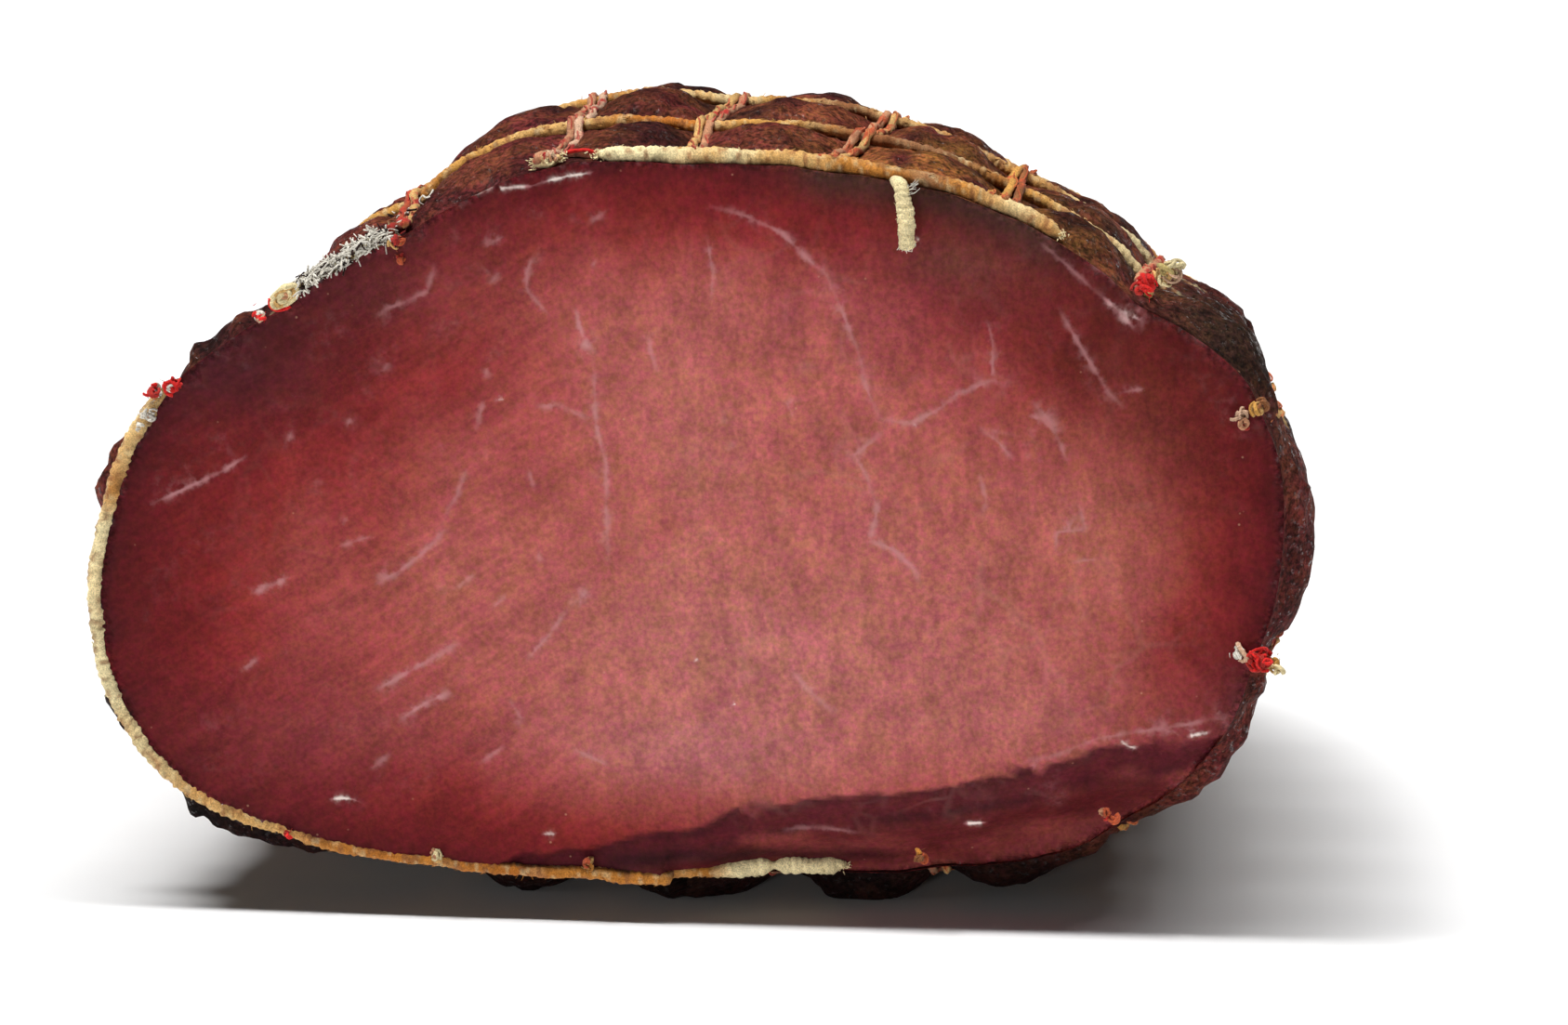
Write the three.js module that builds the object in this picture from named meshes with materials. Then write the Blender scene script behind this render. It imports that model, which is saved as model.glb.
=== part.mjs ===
// Half of an air-dried round of beef in its knitted elastic net, lying on its side with the cut face forward.
// Millimetres, +Z up. The cut face looks along -Y, and the tied end of the net points along +Y. The origin is
// the middle of the underside of the bounding box.
//
// The net is two sets of strands: the hoops, which are round covered elastic and run round the meat, and the
// ribs, which are flat chains of stitches and run along it. A place on the meat is given by two numbers: u counts
// ribs round the section, clockwise as seen from the front, and v counts hoops from the cut towards the tied end.
import * as THREE from "three";

// ---- The meat ----
const BODY_LENGTH = 124; // cut face to the tip of the rounded end
const NOSE_POWER = 2.7; // how late the body starts to narrow: 2 is an ellipse
const MEAN_RADIUS = 60; // of the section, for distances along the surface
const SWELL_AT = 34; // behind the cut
const SIDE_DRIFT = 12; // how far the rounded end lies to the right of the cut face
const SECTION_DEPTH = 50.4; // from the centre of the section down to its lowest rib
const GROOVE_FLOOR_Z = 4.3; // height of the grooves over the table where the meat rests
const CUT_RISE = 1.6; // the cut edge stands this much higher
const END_RISE = 35; // and the tip of the rounded end this much
const END_RISE_POWER = 6;
const PILLOW = 3.4; // height of the meat between the ribs, over the grooves
const PILLOW_AT_CUT = 1;
const PILLOW_FULL_AT = 13; // behind the cut
const PILLOW_UNDER = 6.4; // where the grooves are so near the table that the meat is pressed flat on it
const UNDER_FROM = 8.5; // height of a groove where that begins
const UNDER_FULLY = 4.5;
const PILLOW_ROUNDNESS = 0.9; // the smaller, the fuller
const HOOP_BITE = 0.62; // share of a pillow's height that a hoop presses in
const HOOP_BITE_UNDER = 0.87;
const CROSSING_DIMPLE = 1.6; // how deep a hoop is drawn in where a rib crosses it

// Each rib where it meets the cut edge: its direction in degrees and its distance from the centre of the face,
// clockwise from the upper left. swell is how much further out it runs at SWELL_AT, before the body narrows, and
// start is how far behind the cut edge its end lies.
const RIBS = [
  { angle: 169, radius: 72.4, swell: 0, start: 0.6 },
  { angle: 153, radius: 60.8, swell: -0.5, start: 0.6 },
  { angle: 135.5, radius: 53.4, swell: 4.8, start: 0.6 },
  { angle: 112, radius: 50.4, swell: 5, start: 0.6 },
  { angle: 91, radius: 47.6, swell: 4, start: 1.2 },
  { angle: 70, radius: 50, swell: 3, start: 1.2 },
  { angle: 47.5, radius: 57.5, swell: -0.9, start: 1.2 },
  { angle: 28, radius: 65.8, swell: -1.5, start: 5 },
  { angle: 12, radius: 76.6, swell: -3.2, start: 3 },
  { angle: -13.5, radius: 76.6, swell: -0.4, start: 0.6 },
  { angle: -37, radius: 71.4, swell: -2, start: 4 },
  { angle: -57, radius: 59.4, swell: 0.7, start: 3 },
  { angle: -79, radius: 51.4, swell: 0, start: 0.6 },
  { angle: -106, radius: 51.8, swell: 0.5, start: 0.6 },
  { angle: -126, radius: 59.7, swell: 2.2, start: 0.6 },
  { angle: -141, radius: 70.9, swell: 1.5, start: 0.6 },
  { angle: -153, radius: 79.6, swell: 0, start: 0.6 },
  { angle: -168, radius: 81.4, swell: 0, start: 0.6 },
];
const FACE_CENTRE_Z = SECTION_DEPTH + GROOVE_FLOOR_Z + CUT_RISE;

// The cut face: slightly domed, with a lip along the lower right where the outer muscle falls away backwards.
const FACE_DOME = 1.4;
const LIP_CREST = [
  { x: -4, z: -46 },
  { x: 14, z: -39.5 },
  { x: 38, z: -37 },
  { x: 54, z: -31 },
  { x: 66, z: -29.5 },
  { x: 84, z: -23 },
];
const LIP_SLOPE = 0.62; // backwards for each millimetre below the crest
const LIP_EDGE_DEEPEST = 7;

// ---- The net ----
const HOOPS = 8;
const HOOP_PITCH = 18;
const FIRST_HOOP = 1.7; // from the cut edge
const HOOP_SHARE_AT_CUT = 0.4; // how much of its pressing in reaches the cut edge
const HOOP_ACROSS = 2.6; // corner to corner of the square that stands for the round cord
const HOOP_WAVER = 1.1; // how far a hoop wanders along the meat
const RIB_TWIST = 0.01; // ribs run sideways by this share of their spacing at each hoop
const RIB_WAVER = 0.06;
const RIB_WIDTH = 3.6;
const RIB_ROOT_WIDTH = 1.2; // of the side that lies in the groove
const RIB_THICKNESS = 1.3;
const RIB_OVER_GROOVE = 0.8;
const RIB_SHARE = 0.66; // most of the spacing that a rib may fill, near the tied end
const GAP = 0.3;

// The first hoop lies in the cut edge, and the knife has taken parts of it. Each arc runs from one u to another.
const EDGE_ARCS = {
  hoop_1_stub: { from: 2.92, to: 3.1 },
  hoop_1_top: { from: 3.36, to: 6.42 },
  hoop_1_side: { from: 11.56, to: 19.92 },
};

// A cut end of elastic that hangs from the top of the edge onto the face.
const LOOSE_END = { x: 27.4, length: 8, width: 2.5, stand: 1.6, hang: -0.7, bow: 0.9 };

// The net is drawn together behind the rounded end and tied.
const GATHER = { baseRadius: 8.2, neckRadius: 3.4, endRadius: 6.4, neckAt: 6, length: 15, pleat: 0.16 };
const TIE = { turns: 3, side: 1.4, stepsPerTurn: 12, clearance: 0.4 };
const NET_ENDS_AT = 9.2; // radius of the circle where the ribs end

// ---- How finely it is drawn ----
const RIB_STEPS = [0, 0.27, 0.5, 0.73]; // columns between one rib and the next, as shares of the spacing
const HOOP_STEPS = [0, 0.27, 0.73]; // rows between one hoop and the next
const FACE_RINGS = [0.965, 0.88, 0.72, 0.48, 0.2];
const PROFILE_SAMPLES = 400;
const DERIVATIVE_STEP = 0.01;

const COLOURS = {
  meat: { color: 0x74282c, roughness: 0.55 },
  hoop: { color: 0xc79a58, roughness: 0.85 },
  rib: { color: 0xb4583a, roughness: 0.9 },
  string: { color: 0xd8c8a0, roughness: 0.9 },
};

// ---- Small helpers ----
const count = RIBS.length;
const wrap = (i) => ((i % count) + count) % count;
const clamp = (x, low, high) => Math.min(high, Math.max(low, x));
const smooth = (x) => {
  const t = clamp(x, 0, 1);
  return t * t * (3 - 2 * t);
};
const lerp = (a, b, t) => a + (b - a) * t;

// Height of the lip's crest at x, as a line through its points, and null beyond them.
function crestAt(x) {
  const i = LIP_CREST.findIndex((p) => p.x > x);
  if (i < 1) return null;
  const [a, b] = [LIP_CREST[i - 1], LIP_CREST[i]];
  return lerp(a.z, b.z, (x - a.x) / (b.x - a.x));
}

// How far the face stands behind the cut plane at (x, z) from its centre. edge is 0 in the middle and 1 at the rim.
function faceRelief(x, z, edge) {
  const crest = crestAt(x);
  const below = crest === null ? 0 : Math.max(0, crest - z);
  return Math.min(LIP_EDGE_DEEPEST, below * LIP_SLOPE) - FACE_DOME * (1 - edge * edge);
}

// ---- The section: a smooth closed curve through the ribs ----
function sectionThrough(radiusOf) {
  const points = RIBS.map((rib) => {
    const a = THREE.MathUtils.degToRad(rib.angle);
    return new THREE.Vector3(radiusOf(rib) * Math.cos(a), 0, radiusOf(rib) * Math.sin(a));
  });
  const curve = new THREE.CatmullRomCurve3(points, true, "centripetal");
  return (u) => curve.getPoint(wrap(u) / count);
}
const cutSection = sectionThrough((rib) => rib.radius);
const fullSection = sectionThrough((rib) => rib.radius + rib.swell);

// ---- The profile: distance along the surface from the cut, against depth and the section's scale ----
const profileTable = [{ s: 0, y: 0, scale: 1 }];
for (let i = 1; i <= PROFILE_SAMPLES; i++) {
  const phi = ((i / PROFILE_SAMPLES) * Math.PI) / 2;
  const y = BODY_LENGTH * Math.sin(phi) ** (2 / NOSE_POWER);
  const scale = i === PROFILE_SAMPLES ? 0 : Math.cos(phi);
  const last = profileTable[i - 1];
  profileTable.push({ s: last.s + Math.hypot(y - last.y, MEAN_RADIUS * (scale - last.scale)), y, scale });
}
const SURFACE_LENGTH = profileTable[PROFILE_SAMPLES].s;

function profile(s) {
  const i = clamp(profileTable.findIndex((row) => row.s >= s), 1, PROFILE_SAMPLES);
  const [a, b] = [profileTable[i - 1], profileTable[i]];
  const t = clamp((s - a.s) / (b.s - a.s), 0, 1);
  return { y: lerp(a.y, b.y, t), scale: lerp(a.scale, b.scale, t) };
}

// ---- The meat's surface ----
// Distance from the cut edge of the place (u, v). The hoops waver, but not the one at the cut or near the end.
function stationOf(u, v) {
  const turn = (2 * Math.PI * u) / count;
  const steady = smooth(v) * smooth((HOOPS - v) / 3);
  const waver = Math.sin(3 * turn + 1.7 * v) + 0.6 * Math.sin(5 * turn - 2.3 * v);
  return FIRST_HOOP + HOOP_PITCH * v + HOOP_WAVER * steady * waver;
}

// The floor of the grooves at column u, s from the cut edge.
function grooveFloor(u, s) {
  const { y, scale } = profile(s);
  const hoops = s / HOOP_PITCH;
  const twisted = u + RIB_TWIST * hoops + RIB_WAVER * Math.sin(1.1 * hoops + 2.4 * u) * smooth(hoops);
  const outline = cutSection(twisted).lerp(fullSection(twisted), smooth(y / SWELL_AT));
  const lowest =
    GROOVE_FLOOR_Z + CUT_RISE * (1 - smooth(y / HOOP_PITCH)) + END_RISE * (y / BODY_LENGTH) ** END_RISE_POWER;
  const cutBack = faceRelief(outline.x, outline.z, 1) * clamp(1 - s / HOOP_PITCH, 0, 1);
  return new THREE.Vector3(
    outline.x * scale + SIDE_DRIFT * (y / BODY_LENGTH),
    y + cutBack,
    lowest + (SECTION_DEPTH + outline.z) * scale,
  );
}

// The place (u, s) with its frame: out of the meat, round it and along it. grip falls from 1 to 0 as the ribs
// close up towards the tied end, where nothing bulges any more.
function place(u, s) {
  const along = Math.min(s, SURFACE_LENGTH - 2 * DERIVATIVE_STEP);
  const point = grooveFloor(u, along);
  const round = grooveFloor(u + DERIVATIVE_STEP, along).sub(grooveFloor(u - DERIVATIVE_STEP, along));
  const back = Math.max(along, DERIVATIVE_STEP);
  const forward = grooveFloor(u, back + DERIVATIVE_STEP).sub(grooveFloor(u, back - DERIVATIVE_STEP)).normalize();
  const spacing = round.length() / (2 * DERIVATIVE_STEP);
  round.normalize();
  const out = new THREE.Vector3().crossVectors(round, forward).normalize();
  forward.crossVectors(out, round).normalize();
  return { point, out, round, along: forward, spacing, grip: smooth(spacing / 16) };
}

// Height of the meat over the groove floor. offRib is the distance from the nearest rib as a share of the spacing,
// and hoop is 1 on a hoop and 0 between hoops.
function meatHeight(at, s, offRib, hoop) {
  const under = smooth((UNDER_FROM - at.point.z) / (UNDER_FROM - UNDER_FULLY));
  const full = lerp(PILLOW, PILLOW_UNDER, under);
  const height = lerp(PILLOW_AT_CUT, full, smooth(s / PILLOW_FULL_AT)) * at.grip;
  const bite = lerp(HOOP_BITE, HOOP_BITE_UNDER, under) * hoop;
  const dimple = CROSSING_DIMPLE * at.grip * hoop * (offRib === 0 ? 1 : 0);
  return height * Math.sin(Math.PI * offRib) ** PILLOW_ROUNDNESS * (1 - bite) - dimple;
}

function meatPoint(u, s, offRib, hoop) {
  const at = place(u, s);
  const p = at.point.clone().addScaledVector(at.out, meatHeight(at, s, offRib, hoop));
  p.z = Math.max(0, p.z);
  return p;
}

// ---- Lofts ----
// A closed solid through rings of equal length. closed joins the last ring to the first; otherwise each end is a
// fan from the ring's middle, or from the given tip.
function loft(rings, { closed = false, tips = [] } = {}) {
  const size = rings[0].length;
  const points = rings.flat();
  const faces = [];
  const spans = closed ? rings.length : rings.length - 1;
  for (let j = 0; j < spans; j++) {
    const next = (j + 1) % rings.length;
    for (let i = 0; i < size; i++) {
      const [a, b] = [j * size + i, j * size + ((i + 1) % size)];
      const [c, d] = [next * size + i, next * size + ((i + 1) % size)];
      faces.push([a, b, d], [a, d, c]);
    }
  }
  if (!closed) {
    [0, rings.length - 1].forEach((j, end) => {
      const middle = rings[j].reduce((sum, p) => sum.add(p), new THREE.Vector3()).divideScalar(size);
      const tip = points.push(tips[end] ?? middle) - 1;
      for (let i = 0; i < size; i++) {
        const [a, b] = [j * size + i, j * size + ((i + 1) % size)];
        faces.push(end === 0 ? [b, a, tip] : [a, b, tip]);
      }
    });
  }
  const volume = faces.reduce((sum, [a, b, c]) => sum + points[a].dot(points[b].clone().cross(points[c])), 0);
  const outward = volume < 0 ? faces.map(([a, b, c]) => [a, c, b]) : faces;
  const geometry = new THREE.BufferGeometry().setFromPoints(points);
  geometry.setIndex(outward.flat());
  geometry.computeVertexNormals();
  return geometry;
}

const materials = Object.fromEntries(
  Object.entries(COLOURS).map(([name, look]) => [name, new THREE.MeshStandardMaterial({ ...look, metalness: 0 })]),
);

function piece(name, geometry, material) {
  const mesh = new THREE.Mesh(geometry, materials[material]);
  mesh.name = name;
  return mesh;
}

// ---- The meat ----
const columns = RIBS.flatMap((_, rib) => RIB_STEPS.map((share) => ({ u: rib + share, offRib: share })));

const rows = Array.from({ length: HOOPS }, (_, k) =>
  HOOP_STEPS.map((share) => ({ v: k + share, hoop: share === 0 ? 1 : 0 })),
).flat();

function makeMeat() {
  const shell = [
    columns.map(({ u, offRib }) => meatPoint(u, 0, offRib, HOOP_SHARE_AT_CUT)),
    ...rows.map(({ v, hoop }) => columns.map(({ u, offRib }) => meatPoint(u, stationOf(u, v), offRib, hoop))),
  ];
  const lastRow = stationOf(0, HOOPS - 1 + HOOP_STEPS.at(-1));
  for (const share of [0.45, 0.8]) {
    shell.push(columns.map(({ u, offRib }) => meatPoint(u, lerp(lastRow, SURFACE_LENGTH, share), offRib, 0)));
  }
  const faceRing = (size) =>
    shell[0].map((p) => {
      const [x, z] = [p.x * size, (p.z - FACE_CENTRE_Z) * size];
      return new THREE.Vector3(x, faceRelief(x, z, size), z + FACE_CENTRE_Z);
    });
  const face = [...FACE_RINGS].reverse().map(faceRing);
  const tips = [new THREE.Vector3(0, -FACE_DOME, FACE_CENTRE_Z), grooveFloor(0, SURFACE_LENGTH)];
  return piece("meat", loft([...face, ...shell], { tips }), "meat");
}

// ---- The hoops ----
// Height of a hoop's middle over the groove floor, where it rests on the meat.
const hoopHeight = (at, s, offRib) => meatHeight(at, s, offRib, 1) + GAP + HOOP_ACROSS / 2;

// A hoop's square section in column u. It stands on a corner, in the valley that it presses into the meat.
function hoopSection(u, offRib, v) {
  const s = stationOf(u, v);
  const at = place(u, s);
  const reach = HOOP_ACROSS / 2;
  const middle = at.point.clone().addScaledVector(at.out, hoopHeight(at, s, offRib));
  return [
    middle.clone().addScaledVector(at.out, -reach),
    middle.clone().addScaledVector(at.along, reach),
    middle.clone().addScaledVector(at.out, reach),
    middle.clone().addScaledVector(at.along, -reach),
  ];
}

const makeHoop = (k) =>
  piece(`hoop_${k + 1}`, loft(columns.map(({ u, offRib }) => hoopSection(u, offRib, k)), { closed: true }), "hoop");

// Part of the first hoop: every column inside the arc, and the two cut ends between columns.
function makeEdgeArc(name, { from, to }) {
  const turns = [0, count].flatMap((lap) => columns.map(({ u, offRib }) => ({ u: u + lap, offRib })));
  const sections = turns.map(({ u, offRib }) => ({ u, ring: hoopSection(u, offRib, 0) }));
  const cutAt = (u) => {
    const i = sections.findIndex((next) => next.u > u);
    const [a, b] = [sections[i - 1], sections[i]];
    return a.ring.map((p, corner) => p.clone().lerp(b.ring[corner], (u - a.u) / (b.u - a.u)));
  };
  const inside = sections.filter(({ u }) => u > from && u < to).map(({ ring }) => ring);
  return piece(name, loft([cutAt(from), ...inside, cutAt(to)]), "hoop");
}

// ---- The ribs ----
// Distance from the cut edge at which column u has come within the given distance of the tip.
function stationAtRadius(u, radius) {
  let s = SURFACE_LENGTH - DERIVATIVE_STEP;
  const tip = grooveFloor(u, SURFACE_LENGTH);
  while (grooveFloor(u, s).distanceTo(tip) < radius) s -= 0.5;
  return s;
}

// A rib's section at s: narrow in the groove and wide outside. Over a hoop it is high enough for the edges of its
// narrow side to clear the hoop, which climbs away from the crossing.
function ribSection(rib, s, overHoop) {
  const at = place(rib, s);
  const width = Math.min(RIB_WIDTH, at.spacing * RIB_SHARE);
  const root = (width * RIB_ROOT_WIDTH) / RIB_WIDTH;
  const climb = Math.min(1, root / 2 / (at.spacing * RIB_STEPS[1]));
  const hoopTop = lerp(hoopHeight(at, s, 0), hoopHeight(at, s, RIB_STEPS[1]), climb) + HOOP_ACROSS / 2;
  const low = overHoop ? hoopTop + 1.4 * GAP : RIB_OVER_GROOVE;
  const corner = (across, height) =>
    at.point.clone().addScaledVector(at.round, across).addScaledVector(at.out, height);
  return [
    corner(-root / 2, low),
    corner(root / 2, low),
    corner(width / 2, low + RIB_THICKNESS),
    corner(-width / 2, low + RIB_THICKNESS),
  ];
}

function makeRib(rib) {
  const start = RIBS[rib].start;
  const end = stationAtRadius(rib, NET_ENDS_AT);
  const stops = rows.map(({ v, hoop }) => ({ s: stationOf(rib, v), overHoop: hoop === 1 }));
  const between = stops.filter(({ s }) => s > start + 0.5 && s < end - 1);
  const rings = [{ s: start, overHoop: start < FIRST_HOOP }, ...between, { s: end, overHoop: false }];
  return piece(`rib_${rib + 1}`, loft(rings.map(({ s, overHoop }) => ribSection(rib, s, overHoop))), "rib");
}

// ---- The tied end ----
const tipPoint = grooveFloor(0, SURFACE_LENGTH);

// A point on a ring round the line that leaves the tip straight back.
function aroundTip(angle, radius, back) {
  return new THREE.Vector3(radius * Math.cos(angle), back, radius * Math.sin(angle)).add(tipPoint);
}

function makeGather() {
  const { baseRadius, neckRadius, endRadius, neckAt, length, pleat } = GATHER;
  const shape = [
    [baseRadius * 0.75, 1.2],
    [baseRadius * 0.72, 2.4],
    [neckRadius * 1.35, neckAt - 2.2],
    [neckRadius, neckAt - 1.4],
    [neckRadius, neckAt + 4.2],
    [endRadius * 0.8, neckAt + 6],
    [endRadius, length],
  ];
  const sides = 2 * count;
  const rings = shape.map(([radius, back]) =>
    Array.from({ length: sides }, (_, i) => {
      const pleated = radius * (1 + (i % 2 ? -pleat : pleat) * (radius > neckRadius ? 1 : 0.4));
      return aroundTip((i / sides) * 2 * Math.PI, pleated, back);
    }),
  );
  return piece("net_gather", loft(rings), "rib");
}

function makeTie() {
  const { turns, side, stepsPerTurn, clearance } = TIE;
  const radius = GATHER.neckRadius * (1 + 0.4 * GATHER.pleat) + clearance + side / 2;
  const steps = turns * stepsPerTurn;
  const rings = Array.from({ length: steps + 1 }, (_, i) => {
    const angle = (i / stepsPerTurn) * 2 * Math.PI;
    const back = GATHER.neckAt - 0.9 + (i / stepsPerTurn) * (side / 1.3 + GAP);
    return [
      [-side / 2, -side / 2.6],
      [side / 2, -side / 2.6],
      [side / 2, side / 2.6],
      [-side / 2, side / 2.6],
    ].map(([a, b]) => aroundTip(angle, radius + a, back + b));
  });
  return piece("tie_string", loft(rings), "string");
}

// ---- The loose end ----
function makeLooseEnd() {
  const { x, length, width, stand, hang, bow } = LOOSE_END;
  const top = sectionTopAt(x) - hang;
  const steps = 5;
  const rings = Array.from({ length: steps + 1 }, (_, i) => {
    const t = i / steps;
    const z = top - t * length;
    const y = faceRelief(x, z - FACE_CENTRE_Z, 0.9) - stand - bow * Math.sin(Math.PI * t);
    const r = (width / 2) * lerp(0.8, 1, smooth(2 * t));
    return Array.from({ length: 6 }, (_, k) => {
      const a = (k / 6) * 2 * Math.PI;
      return new THREE.Vector3(x + r * Math.cos(a), y + r * Math.sin(a), z);
    });
  });
  return piece("loose_end", loft(rings), "hoop");
}

// Height of the cut edge at x, on its upper side.
function sectionTopAt(x) {
  const steps = 200;
  const upper = Array.from({ length: steps }, (_, i) => cutSection(lerp(1, 9, i / steps))).filter((p) => p.z > 0);
  return FACE_CENTRE_Z + upper.reduce((best, p) => (Math.abs(p.x - x) < Math.abs(best.x - x) ? p : best)).z;
}

// ---- The whole ----
const net = new THREE.Group();
for (const [name, arc] of Object.entries(EDGE_ARCS)) net.add(makeEdgeArc(name, arc));
for (let k = 1; k < HOOPS; k++) net.add(makeHoop(k));
RIBS.forEach((_, rib) => net.add(makeRib(rib)));
net.add(makeGather(), makeTie(), makeLooseEnd());

const half = new THREE.Group();
half.add(makeMeat(), net);

// The origin goes to the middle of the underside of the bounding box.
const box = new THREE.Box3().setFromObject(half, true);
const middle = box.getCenter(new THREE.Vector3());
half.position.set(-middle.x, -middle.y, -box.min.z);

const bresaola = new THREE.Group();
bresaola.add(half);

export default bresaola;
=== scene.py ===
"""Half of an air-dried round of beef in its knitted elastic net, lying on its side with the cut face forward.

Lengths are in millimetres, and become metres where a mesh is made. A place on the meat is given by two
numbers: u counts the ribs of the net round the section, and s is the distance from the cut edge towards the
tied end.
"""

import math

import bpy
import numpy as np
from mathutils import Matrix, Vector
from mathutils.geometry import delaunay_2d_cdt


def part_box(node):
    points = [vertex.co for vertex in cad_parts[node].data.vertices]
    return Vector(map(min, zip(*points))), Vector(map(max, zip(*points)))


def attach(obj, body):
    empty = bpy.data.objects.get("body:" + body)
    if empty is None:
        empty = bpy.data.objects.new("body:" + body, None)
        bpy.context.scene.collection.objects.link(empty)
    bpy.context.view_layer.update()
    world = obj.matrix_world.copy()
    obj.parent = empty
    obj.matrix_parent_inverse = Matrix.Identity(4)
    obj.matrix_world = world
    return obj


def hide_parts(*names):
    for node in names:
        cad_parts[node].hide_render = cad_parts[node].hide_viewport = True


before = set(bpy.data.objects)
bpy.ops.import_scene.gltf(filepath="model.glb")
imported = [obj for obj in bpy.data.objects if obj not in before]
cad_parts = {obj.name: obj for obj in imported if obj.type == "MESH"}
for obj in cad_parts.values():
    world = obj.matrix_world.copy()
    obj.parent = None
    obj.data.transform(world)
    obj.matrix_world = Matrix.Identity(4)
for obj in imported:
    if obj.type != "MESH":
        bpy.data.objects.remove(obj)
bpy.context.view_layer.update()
MM = 0.001

# ---- The meat, as it is in the solid ----
BODY_LENGTH = 124.0  # cut face to the tip of the rounded end
NOSE_POWER = 2.7
MEAN_RADIUS = 60.0
SWELL_AT = 34.0
SIDE_DRIFT = 12.0
SECTION_DEPTH = 50.4
GROOVE_FLOOR_Z = 4.3
CUT_RISE = 1.6
END_RISE = 35.0
END_RISE_POWER = 6
PILLOW = 3.4
PILLOW_AT_CUT = 1.0
PILLOW_FULL_AT = 13.0
PILLOW_UNDER = 6.4
UNDER_FROM = 8.5
UNDER_FULLY = 4.5
PILLOW_ROUNDNESS = 0.9
HOOP_BITE = 0.62
HOOP_BITE_UNDER = 0.87
CROSSING_DIMPLE = 0.6
FACE_CENTRE_Z = SECTION_DEPTH + GROOVE_FLOOR_Z + CUT_RISE
FACE_DOME = 1.4
LIP_CREST = ((-4, -46), (14, -39.5), (38, -37), (54, -31), (66, -29.5), (84, -23))
LIP_SLOPE = 0.62
LIP_EDGE_DEEPEST = 7.0
FAR_BELOW = -999.0  # lower than any point of the face

# Each rib at the cut edge: direction in degrees, distance from the face's centre, swell behind it, and start.
RIBS = np.array([
    (169, 72.4, 0, 0.6), (153, 60.8, -0.5, 0.6), (135.5, 53.4, 4.8, 0.6), (112, 50.4, 5, 0.6),
    (91, 47.6, 4, 1.2), (70, 50, 3, 1.2), (47.5, 57.5, -0.9, 1.2), (28, 65.8, -1.5, 5),
    (12, 76.6, -3.2, 3), (-13.5, 76.6, -0.4, 0.6), (-37, 71.4, -2, 4), (-57, 59.4, 0.7, 3),
    (-79, 51.4, 0, 0.6), (-106, 51.8, 0.5, 0.6), (-126, 59.7, 2.2, 0.6), (-141, 70.9, 1.5, 0.6),
    (-153, 79.6, 0, 0.6), (-168, 81.4, 0, 0.6),
])
COUNT = len(RIBS)

# ---- The net, as it is in the solids ----
HOOPS = 8
HOOP_PITCH = 18.0
FIRST_HOOP = 1.7
HOOP_WAVER = 1.1
RIB_TWIST = 0.01
RIB_WAVER = 0.06
EDGE_ARCS = {"hoop_1_stub": (2.92, 3.1), "hoop_1_top": (3.36, 6.42), "hoop_1_side": (11.56, 19.92)}
LOOSE_END = {"x": 27.4, "length": 8.0, "width": 2.5, "stand": 1.6, "hang": -0.7, "bow": 0.9}
GATHER_SHAPE = ((6.15, 1.2), (5.9, 2.4), (4.6, 3.8), (3.4, 4.6), (3.4, 10.2), (5.1, 12.0), (6.4, 15.0))
TIE = {"turns": 3, "side": 1.4, "at": 5.1, "rise": 1.38, "radius": 4.72}

# ---- Where the part's own zero lies in the frame ----
meat_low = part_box("meat")[0]
end_low, end_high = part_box("loose_end")
SHIFT = np.array([
    (end_low.x + end_high.x) / 2 / MM - LOOSE_END["x"],
    meat_low.y / MM + FACE_DOME,
    0.0,
])


# ---- Small helpers ----
def smooth(x):
    t = np.clip(x, 0.0, 1.0)
    return t * t * (3 - 2 * t)


def mix(a, b, t):
    return a + (b - a) * t


def unit(v):
    return v / np.maximum(np.linalg.norm(v, axis=-1, keepdims=True), 1e-9)


def bell(x, centre, half, power=2):
    """1 at the centre, and falling off smoothly on both sides."""
    return np.exp(-(((x - centre) / half) ** power))


def travelled(path):
    """The distance along a path at each of its points."""
    return np.concatenate([[0], np.cumsum(np.linalg.norm(np.diff(path, axis=0), axis=1))])


def srgb(r, g, b):
    """A colour given as it is seen on a screen, 0 to 255, as the linear values that shaders use."""
    c = np.array([r, g, b], float) / 255
    return np.where(c <= 0.04045, c / 12.92, ((c + 0.055) / 1.055) ** 2.4)


def lattice(cell, seed):
    """A number from -1 to 1 for each whole-number place."""
    h = (cell[..., 0] * 374761393 + cell[..., 1] * 668265263 + cell[..., 2] * 2147483647 + seed * 974711)
    h = h & 0xFFFFFFFF
    h = ((h ^ (h >> 13)) * 1274126177) & 0xFFFFFFFF
    h = h ^ (h >> 16)
    return (h & 0xFFFF) / 32767.5 - 1


def noise(p, size, seed=0):
    """Smooth noise from -1 to 1 with lumps of the given size, at the places p."""
    q = np.asarray(p, float) / size + 100.37
    base = np.floor(q).astype(np.int64)
    f = q - base
    f = f * f * (3 - 2 * f)
    total = 0.0
    for corner in np.ndindex(2, 2, 2):
        weight = np.prod([f[..., i] if c else 1 - f[..., i] for i, c in enumerate(corner)], axis=0)
        total = total + weight * lattice(base + np.array(corner), seed)
    return total


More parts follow.
